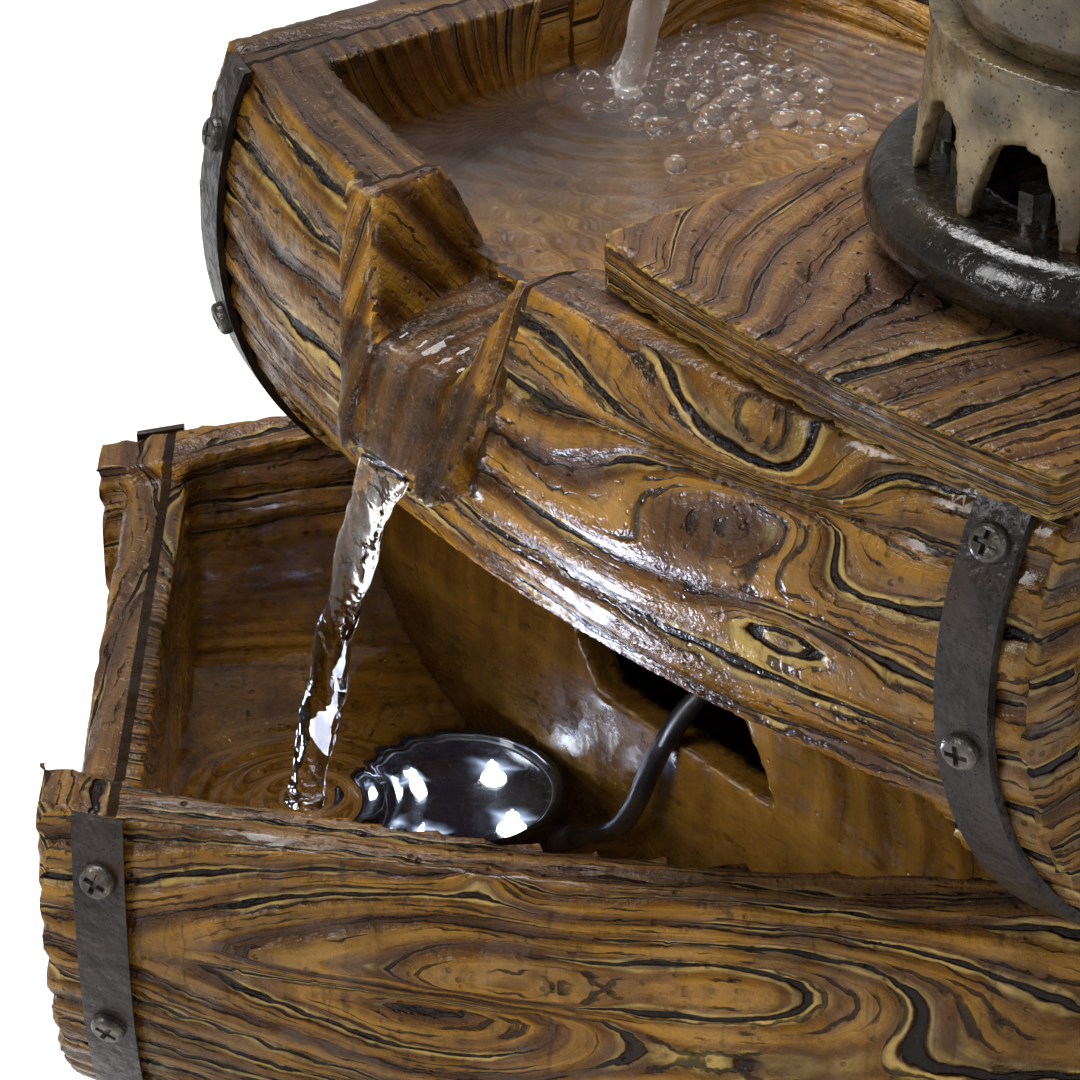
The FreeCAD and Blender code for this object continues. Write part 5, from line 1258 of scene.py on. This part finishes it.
@dataclass
class LowerPool:
    """Still water in the lower barrel, ringed where the jet lands."""

    level: float = 0.076
    landing: tuple[float, float] = (-0.1545, -0.0270)
    step: float = 0.0013

    def build(self) -> bpy.types.Object:
        """Makes the pool's surface."""
        xs, ys = np.meshgrid(np.arange(-0.1835, 0.1836, self.step), np.arange(-0.0985, 0.0986, self.step))
        inner = lower_radius(xs) - 0.012
        wet = np.abs(ys) < np.sqrt(np.maximum(inner ** 2 - (self.level - 0.08) ** 2, 0)) + 0.004
        away = np.hypot(xs - self.landing[0], ys - self.landing[1])
        rings = 0.0007 * np.sin(away / 0.0064 * 2 * math.pi) * np.exp(-(away / 0.019) ** 2)
        churn = 0.0016 * np.exp(-(away / 0.007) ** 2)
        heights = self.level + rings + churn + 0.00012 * sheet_noise(xs, ys, 0.02, 5, 2)
        water = Water("clear_pool", ripple=0.00006, scale=90.0)
        made = sheet_of("lower_water", xs, ys, wet, heights, water.make())
        LOG.info("lower water: %d faces", len(made.data.polygons))
        return made


@dataclass
class UpperPool:
    """Stirred water in the upper barrel, with bubbles where the pump's stream falls."""

    level: float = 0.1802
    landing: tuple[float, float] = (-0.0927, 0.0677)
    step: float = 0.0013
    bubbles: int = 92
    foam_centre: tuple[float, float] = (-0.0765, 0.0700)
    foam_spread: tuple[float, float] = (0.0125, 0.0135)
    bubble_sizes: tuple[float, float] = (0.0010, 0.0030)

    def build(self) -> None:
        """Makes the surface, the bubbles and the film that runs down the chute."""
        us, vs = np.meshgrid(np.arange(-0.1, 0.1001, self.step), np.arange(-0.0665, 0.0666, self.step))
        wet = np.abs(vs) < upper_bulge(us) + 0.046
        xs = UPPER_CENTRE[0] + us * COS - vs * SIN
        ys = UPPER_CENTRE[1] + us * SIN + vs * COS
        away = np.hypot(xs - self.landing[0], ys - self.landing[1])
        rings = 0.0006 * np.sin(away / 0.0085 * 2 * math.pi) * np.exp(-away / 0.03)
        heights = self.level + rings + 0.0006 * sheet_noise(xs, ys, 0.016, 8, 3) * np.exp(-away / 0.09)
        # The grey-mauve coat is a painted reflection on the stirred water.
        water = Water("stirred_pool", painted_reflection=0.42, ripple=0.0004, scale=70.0, rough=0.06)
        sheet_of("upper_water", xs, ys, wet, heights, water.make())
        self.foam()
        self.film()

    def foam(self) -> None:
        """Scatters bubbles round the place where the stream falls, by Geometry Nodes."""
        random = np.random.default_rng(11)
        spots, sizes = [], []
        while len(spots) < self.bubbles:
            spot = np.array(self.foam_centre) + random.normal(size=2) * np.array(self.foam_spread)
            size = random.uniform(*self.bubble_sizes)
            if all(np.hypot(*(spot - other)) > (size + grown) * 0.86 for other, grown in zip(spots, sizes)):
                spots.append(spot)
                sizes.append(size)
        tree, source, setting = scatter_tree(
            "bubble_setting", {"Fullness": ("Float", 1.0)}, Water("bubble_skin", ripple=0.0).make())
        ball, girth, swell = map(tree.nodes.new, (
            "GeometryNodeMeshIcoSphere", "GeometryNodeInputNamedAttribute", "ShaderNodeMath"))
        ball.inputs["Radius"].default_value = 1.0
        ball.inputs["Subdivisions"].default_value = 3
        girth.data_type = "FLOAT"
        girth.inputs["Name"].default_value = "girth"
        swell.operation = "MULTIPLY"
        wire(tree, (ball.outputs["Mesh"], setting.inputs["Instance"]),
             (girth.outputs["Attribute"], swell.inputs[0]), (source.outputs["Fullness"], swell.inputs[1]),
             (swell.outputs[0], setting.inputs["Scale"]))
        foam = scattered("upper_bubbles", [(x, y, self.level - 0.0002) for x, y in spots], "girth",
                         np.array(sizes), tree, Fullness=1.0)
        foam.data.polygons.foreach_set("use_smooth", [True] * len(foam.data.polygons))
        LOG.info("upper bubbles: %d", self.bubbles)

    def film(self) -> None:
        """Lays the thin running film over the sill and the lip of the chute."""
        run = ((-0.070, 0.1793, 0.0145), (-0.080, 0.1786, 0.0130), (-0.088, 0.1780, 0.0112),
               (-0.0955, 0.1762, 0.0098), (-0.0995, 0.1700, 0.0082), (-0.1015, 0.1630, 0.0070),
               (-0.1035, 0.1570, 0.0066))
        across = 14
        points = []
        for y, z, half in run:
            for k in range(across + 1):
                part = k / across * 2 - 1
                sway = 0.0007 * math.sin(17 * part + y * 900)
                points.append(from_upper(-0.0195 + half * part, y, z + sway * (1 - part * part)))
        water = Water("running_film", ripple=0.0005, scale=160.0)
        faces = strip_faces(len(run), across + 1, closed=False)
        place_mesh("chute_film", points, faces, water.make(), upward=True)


@dataclass
class Fall:
    """A falling stream: an uneven tube along a bending line."""

    name: str
    line: tuple[tuple[float, float, float], ...]
    widths: tuple[float, ...]
    thickness: tuple[float, ...]
    across: tuple[float, float]
    material: Water
    steps: int = 90
    sides: int = 28
    seed: int = 4

    def build(self) -> bpy.types.Object:
        """Makes the stream."""
        given = np.linspace(0, 1, len(self.line))
        fine = np.linspace(0, 1, self.steps)
        centre = np.stack([np.interp(fine, given, np.array(self.line)[:, k]) for k in range(3)], axis=1)
        for _ in range(12):
            centre[1:-1] = 0.25 * centre[:-2] + 0.5 * centre[1:-1] + 0.25 * centre[2:]
        width = np.interp(fine, np.linspace(0, 1, len(self.widths)), self.widths)
        thick = np.interp(fine, np.linspace(0, 1, len(self.thickness)), self.thickness)
        side = Vector((*self.across, 0)).normalized()
        points = []
        for row in range(self.steps):
            ahead = Vector(centre[min(row + 1, self.steps - 1)] - centre[max(row - 1, 0)]).normalized()
            depth = ahead.cross(side).normalized()
            for k in range(self.sides):
                angle = 2 * math.pi * k / self.sides
                points.append(Vector(centre[row]) + side * (width[row] / 2 * math.cos(angle))
                              + depth * (thick[row] / 2 * math.sin(angle)))
        cloud = np.array(points)
        middle = np.repeat(centre, self.sides, axis=0)
        ropes = noise(cloud / np.array([0.0035, 0.0035, 0.012]), self.seed, 2)
        cloud = middle + (cloud - middle) * (1 + 0.42 * ropes[:, None])
        faces = strip_faces(self.steps, self.sides)
        faces.append(tuple(range(self.sides)))
        faces.append(tuple(reversed(range((self.steps - 1) * self.sides, self.steps * self.sides))))
        made = place_mesh(self.name, cloud, faces, self.material.make())
        fixed = bmesh.new()
        fixed.from_mesh(made.data)
        bmesh.ops.recalc_face_normals(fixed, faces=fixed.faces)
        fixed.to_mesh(made.data)
        fixed.free()
        LOG.info("%s: %d faces", self.name, len(made.data.polygons))
        return made


@dataclass
class LampGlow:
    """Soft discs of light over the lit domes, and the light that they cast."""

    lift: float = 0.0012
    radius: float = 0.0054
    power: float = 0.34
    spread: float = 168.0


    def centres(self) -> list[Vector]:
        """Middle of each dome of the CAD node."""
        low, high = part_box("light_emitters")
        middle, out, first = (low + high) / 2, 0.0128, 58
        turns = [math.radians(first + 90 * k) for k in range(4)]
        return [Vector((middle.x + out * math.cos(turn), middle.y + out * math.sin(turn), high.z))
                for turn in turns]

    def material(self) -> bpy.types.Material:
        """Additive glow that fades from the middle of each disc."""
        material = bpy.data.materials.new("lamp_glow")
        material.use_nodes = True
        material.node_tree.nodes.clear()
        graph = Graph(material.node_tree)
        power = graph.math("POWER", graph.attribute("fade"), 2.6) * 3.4
        light = graph.out("ShaderNodeEmission", Color=(0.62, 0.76, 1.0), Strength=power)
        graph.show(graph.out("ShaderNodeAddShader", None, (light, graph.out("ShaderNodeBsdfTransparent"))))
        return material

    def hang(self, centre: Vector) -> None:
        """Hangs the lamp that lights the pool from one dome."""
        lamp = bpy.data.lights.new("pool_lamp", "SPOT")
        lamp.energy = self.power
        lamp.spot_size = math.radians(self.spread)
        lamp.spot_blend = 0.6
        lamp.color = (0.62, 0.74, 1.0)
        lamp.shadow_soft_size = 0.003
        holder = new_object("pool_lamp", lamp)
        holder.location = centre + Vector((0, 0, 0.0045))
        holder.rotation_euler = (math.pi, 0, 0)

    def build(self) -> None:
        """Makes the discs and the lamps."""
        points, faces, fades = [], [], []
        rings, steps = 8, 36
        for centre in self.centres():
            start = len(points)
            points.append(centre + Vector((0, 0, self.lift)))
            fades.append(1.0)
            for ring in range(1, rings + 1):
                for k in range(steps):
                    angle = 2 * math.pi * k / steps
                    star = 1.0 + (0.55 * max(0.0, math.cos(2.5 * angle)) ** 6 if ring > 2 else 0.0)
                    reach = self.radius * ring / rings * star
                    points.append(centre + Vector((*around(reach, angle), self.lift)))
                    fades.append(1 - ring / rings)
            faces += [(start, start + 1 + k, start + 1 + (k + 1) % steps) for k in range(steps)]
            for a, b, c, d in strip_faces(rings, steps):
                faces.append(tuple(start + 1 + corner for corner in (a, d, c, b)))
            self.hang(centre)
        glow = place_mesh("lamp_glow", points, faces, self.material())
        keep_value(glow.data, "fade", np.array(fades))


# ---------------------------------------------------------------- plain finishes for the CAD nodes


def plain_finishes() -> tuple[tuple[Patina | Moulded | Lamp, tuple[str, ...]], ...]:
    """Each plain finish and the CAD nodes that wear it."""
    return (
        (Patina("band_iron", srgb(31, 25, 21), srgb(56, 46, 39), srgb(10, 8, 7), srgb(62, 40, 22),
                scale=60.0, rust_share=0.6, rough=0.34, depth=0.0012, coat=0.12),
         ("lower_hoop_left", "lower_hoop_right", "upper_hoop_left", "upper_hoop_right")),
        (Patina("pump_cast", **PUMP_BEIGE), ("pump_spout", "lever_bracket")),
        (Patina("pump_dark_cast", srgb(26, 25, 21), srgb(60, 53, 40), srgb(10, 10, 9), srgb(76, 48, 22),
                rust_share=0.3, rough=0.2, coat=0.6),
         ("pump_skirt_bolts", "pump_cap", "pump_handle")),
        (Patina("old_screw", srgb(120, 114, 108), srgb(150, 146, 140), srgb(50, 46, 42), srgb(104, 74, 48),
                scale=160.0, metal=0.6),
         ("cap_screws", "handle_pin", "rod_pin")),
        (Moulded("black_plastic", srgb(20, 20, 22), srgb(34, 34, 36)),
         ("access_cover", "sub_housing", "sub_impeller_cover", "sub_strainer", "sub_dial", "sub_outlet",
          "cable_connector", "cable_clip")),
        (Moulded("glossy_housing", srgb(5, 6, 14), srgb(12, 14, 26), 0.16, 500.0, 0.00003),
         ("light_housing", "light_board")),
        (Moulded("soft_rubber", srgb(18, 18, 18), srgb(34, 33, 32), 0.6, 1200.0, 0.00012),
         ("cord_grommet", "riser_seal", "sub_feet", "sub_gland", "light_seal", "light_cups", "light_gland",
          "light_cable")),
        (Moulded("clear_lens", (0.92, 0.95, 1.0), (0.85, 0.9, 0.98), 0.03, 60.0, 0.00001, 1.0),
         ("light_lens",)),
        (Moulded("clear_hose", srgb(196, 200, 196), srgb(170, 176, 170), 0.25, 300.0, 0.00004, 0.5),
         ("riser_hose",)),
        (Patina("bright_steel", srgb(168, 168, 170), srgb(190, 190, 192), srgb(110, 110, 112),
                srgb(150, 146, 140), scale=200.0, rust_share=0.1, rough=0.22, depth=0.00005, metal=1.0,
                coat=0.0),
         ("plunger_rod", "hose_clamp", "sub_shaft")),
        (Moulded("rotor_plastic", srgb(70, 74, 80), srgb(92, 95, 100)), ("sub_impeller",)),
        (Lamp(), ("light_emitters",)),
    )


def dress_nodes() -> None:
    """Puts each plain finish in its nodes' material slots."""
    for finish, nodes in plain_finishes():
        material = finish.make()
        for node in nodes:
            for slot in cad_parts[node].material_slots:
                slot.material = material
        LOG.info("%s: %s", finish.name, ", ".join(nodes))


# ---------------------------------------------------------------- studio


@dataclass
class Studio:
    """Pale floor, soft lamps, white surroundings and the camera."""

    camera_place: Place = (-0.110, -0.691, 0.5161)
    camera_down: float = 30.0
    lens: float = 140.0
    floor_colour: Colour = (0.86, 0.86, 0.86)
    floor_reach: float = 6.0

    def camera(self) -> None:
        """Sets the camera at the photograph's viewing angle."""
        data = bpy.data.cameras.new("view")
        data.lens = self.lens
        data.sensor_width = 36.0
        data.clip_start = 0.01
        data.clip_end = 50.0
        made = new_object("view", data)
        made.location = self.camera_place
        made.rotation_euler = (math.radians(90 - self.camera_down), 0, 0)
        bpy.context.scene.camera = made

    def floor(self) -> None:
        """Lays the pale floor, which looks white to the camera and keeps soft shadows."""
        material, graph, shader = new_material("pale_floor")
        tone = graph.mix(graph.grain(graph.object_space(), 3.0, 2.0), self.floor_colour, (0.9, 0.9, 0.9))
        graph.set(shader, Base_Color=tone, Roughness=0.7)
        plain = Value(graph, shader.outputs[0])
        lift = graph.out("ShaderNodeEmission", Color=WHITE, Strength=0.45)
        bright = graph.out("ShaderNodeAddShader", None, (plain, lift))
        graph.show(graph.blend(graph.rays("Camera", "Transmission"), plain, bright))
        far = self.floor_reach
        corners = [(-far, -far, 0), (far, -far, 0), (far, far, 0), (-far, far, 0)]
        place_mesh("floor", corners, [(0, 1, 2, 3)], material)

    def surroundings(self) -> None:
        """Lights the world softly and shows it white."""
        world = bpy.data.worlds.new("studio")
        bpy.context.scene.world = world
        world.use_nodes = True
        world.node_tree.nodes.clear()
        graph = Graph(world.node_tree)
        soft = graph.out("ShaderNodeBackground", Color=(0.95, 0.97, 1.0), Strength=0.25)
        white = graph.out("ShaderNodeBackground", Color=WHITE, Strength=1.0)
        graph.show(graph.blend(graph.rays("Camera", "Transmission"), soft, white), "ShaderNodeOutputWorld")

    def lamp(self, name: str, place: Place, size: float, power: float, aim: Place = (-0.06, 0.0, 0.14),
             colour: Colour = WHITE, shown: bool = True) -> None:
        """Hangs one soft box.

        Args:
            name: The lamp's name.
            place: Where it hangs.
            size: Side of the square box.
            power: Its power in watts.
            aim: What it is turned to, by default the fountain.
            colour: Its colour.
            shown: Whether the camera and water show it.
        """
        data = bpy.data.lights.new(name, "AREA")
        data.shape = "SQUARE"
        data.size = size
        data.energy = power
        data.color = colour
        made = new_object(name, data)
        made.visible_camera = made.visible_transmission = shown
        made.location = place
        made.rotation_euler = (Vector(aim) - Vector(place)).to_track_quat("-Z", "Y").to_euler()

    def build(self) -> None:
        """Sets up the whole studio."""
        bpy.context.scene.view_settings.view_transform = "Standard"
        self.camera()
        self.floor()
        self.surroundings()
        self.lamp("top_box", (-0.25, 0.35, 1.25), 0.6, 16.0)
        self.lamp("left_box", (-1.1, -0.55, 0.75), 0.35, 6.6)
        self.lamp("right_box", (0.95, -0.7, 0.8), 0.45, 4.2)
        self.lamp("pool_glow", (-0.148, -0.048, 0.084), 0.03, 0.10, aim=(-0.050, -0.062, 0.150),
                  colour=(0.70, 0.78, 1.0), shown=False)
        LOG.info("studio set")


# ---------------------------------------------------------------- the fountain

PUMP_BEIGE = dict(ground=srgb(86, 73, 52), blotch=srgb(158, 138, 102), dark=srgb(22, 20, 16),
                  rust=srgb(98, 56, 22), coat=0.5)
PUMP_DARK = dict(ground=srgb(20, 18, 14), blotch=srgb(50, 42, 28), dark=srgb(7, 7, 6), rust=srgb(76, 48, 20),
                 coat=0.42)
SCREW_METAL = dict(ground=srgb(66, 60, 54), blotch=srgb(118, 112, 102), dark=srgb(18, 16, 14),
                   rust=srgb(70, 46, 28), scale=180.0, metal=0.5)


def carved_pieces(coarse: float) -> tuple[CarvedPiece, ...]:
    """The carved parts of the fountain, with the knots that each one shows.

    Args:
        coarse: How much coarser than in full the skins are.

    Returns:
        The pieces, not built yet.
    """
    return (
        LowerBasin("lower_basin", "carved_lower_barrel", CarvedResin("lower_staves"), 0.0020 * coarse, seed=3,
                   knots=(Knot(-0.080, -0.1465, 0.042, 0.0115, 0.030),
                          Knot(-0.120, -0.163, 0.006, 0.004, 0.009),
                          Knot(0.055, -0.120, 0.04, 0.009, 0.022), Knot(0.04, 0.13, 0.04, 0.009, 0.022),
                          Knot(-0.09, 0.12, 0.03, 0.008, -0.02)),
                   folds=(Fold(-0.150, -0.138, 0.045, 0.026, 0.30), Fold(0.130, -0.130, 0.040, 0.022, -0.26),
                          Fold(-0.100, 0.130, 0.045, 0.022, 0.28))),
        UpperBarrel("upper_barrel", "carved_upper_barrel", CarvedResin("upper_staves"), 0.0016 * coarse,
                    seed=27,
                    knots=(Knot(0.070, -0.105, 0.014, 0.004, 0.010), Knot(-0.03, 0.12, 0.03, 0.008, 0.015)),
                    folds=(Fold(0.046, -0.130, 0.032, 0.016, -0.34), Fold(0.010, 0.110, 0.04, 0.02, 0.3))),
        Stand("pedestal", "carved_stand",
              CarvedResin("stand_resin", spacing=0.012, depth=0.0005, brown=srgb(66, 40, 9),
                          body=srgb(98, 66, 18), ochre=srgb(122, 86, 28)),
              0.0018 * coarse, relief=0.0002, seed=33),
        Lid("pump_deck", "carved_lid", CarvedResin("lid_planks", spacing=0.0085, stain=srgb(98, 76, 66)),
            0.0015 * coarse, relief=0.0007, wander=0.006, seed=52),
    )


def cast_skins(coarse: float) -> tuple[CastSkin, ...]:
    """The pump castings that get a dented skin.

    Args:
        coarse: How much coarser than in full the skins are.

    Returns:
        The pieces, not built yet.
    """
    return (
        CastSkin("pump_flange", "pump_foot_ring", "pump_dark",
                 Patina("foot_ring", rough=0.17, depth=0.0013, **PUMP_DARK), 0.0013 * coarse, seed=61),
        CastSkin("pump_skirt", "pump_arcade", "pump_bronze",
                 Patina("arcade_cast", rough=0.26, depth=0.0009, **PUMP_BEIGE), 0.0010 * coarse, seed=67),
        CastSkin("pump_cylinder", "pump_barrel", "pump_bronze",
                 Patina("barrel_cast", rough=0.28, depth=0.0009, **PUMP_BEIGE), 0.0014 * coarse, seed=71),
    )


def falls() -> tuple[Fall, ...]:
    """The jet from the chute and the stream from the pump's spout."""
    lip = tuple(from_upper(-0.0195, -0.1025, 0.158))
    return (
        Fall("chute_jet", (lip, (-0.1415, -0.0410, 0.143), (-0.1462, -0.0365, 0.122), (-0.1505, -0.0318, 0.1),
                           (-0.1545, -0.0270, 0.0755)),
             (0.0125, 0.0112, 0.0100, 0.0090, 0.0085, 0.0095), (0.0030, 0.0038, 0.0044, 0.0050, 0.0060),
             (COS, SIN), Water("jet_water", ripple=0.0006, scale=190.0)),
        Fall("pump_stream", ((-0.0536, 0.0087, 0.3036), (-0.0650, 0.0265, 0.285), (-0.0775, 0.0452, 0.250),
                             (-0.0862, 0.0580, 0.215), (-0.0927, 0.0677, 0.181)),
             (0.0100, 0.0085, 0.0075, 0.0072, 0.0075), (0.0095, 0.0080, 0.0070, 0.0068), (0.788, 0.6157),
             # The pale coat is a painted reflection on the falling stream.
             Water("stream_water", painted_reflection=0.35, painted_reflection_colour=srgb(205, 200, 198), ripple=0.0005, scale=140.0)),
    )


def main() -> None:
    """Builds the fountain piece by piece."""
    logging.basicConfig(level=logging.INFO, format="%(name)s %(message)s", stream=sys.stdout)
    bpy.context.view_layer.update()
    coarse = 1.0
    Studio().build()
    LightCable().build()
    dress_nodes()
    screws = [BandScrews(node, "set_" + node, Patina(node + "_metal", **SCREW_METAL))
              for node in ("lower_hoop_screws", "upper_hoop_screws")]
    for piece in (*carved_pieces(coarse), *cast_skins(coarse), *screws,
                  LowerPool(), UpperPool(), *falls(), LampGlow()):
        piece.build()


if __name__ == "__main__":
    main()
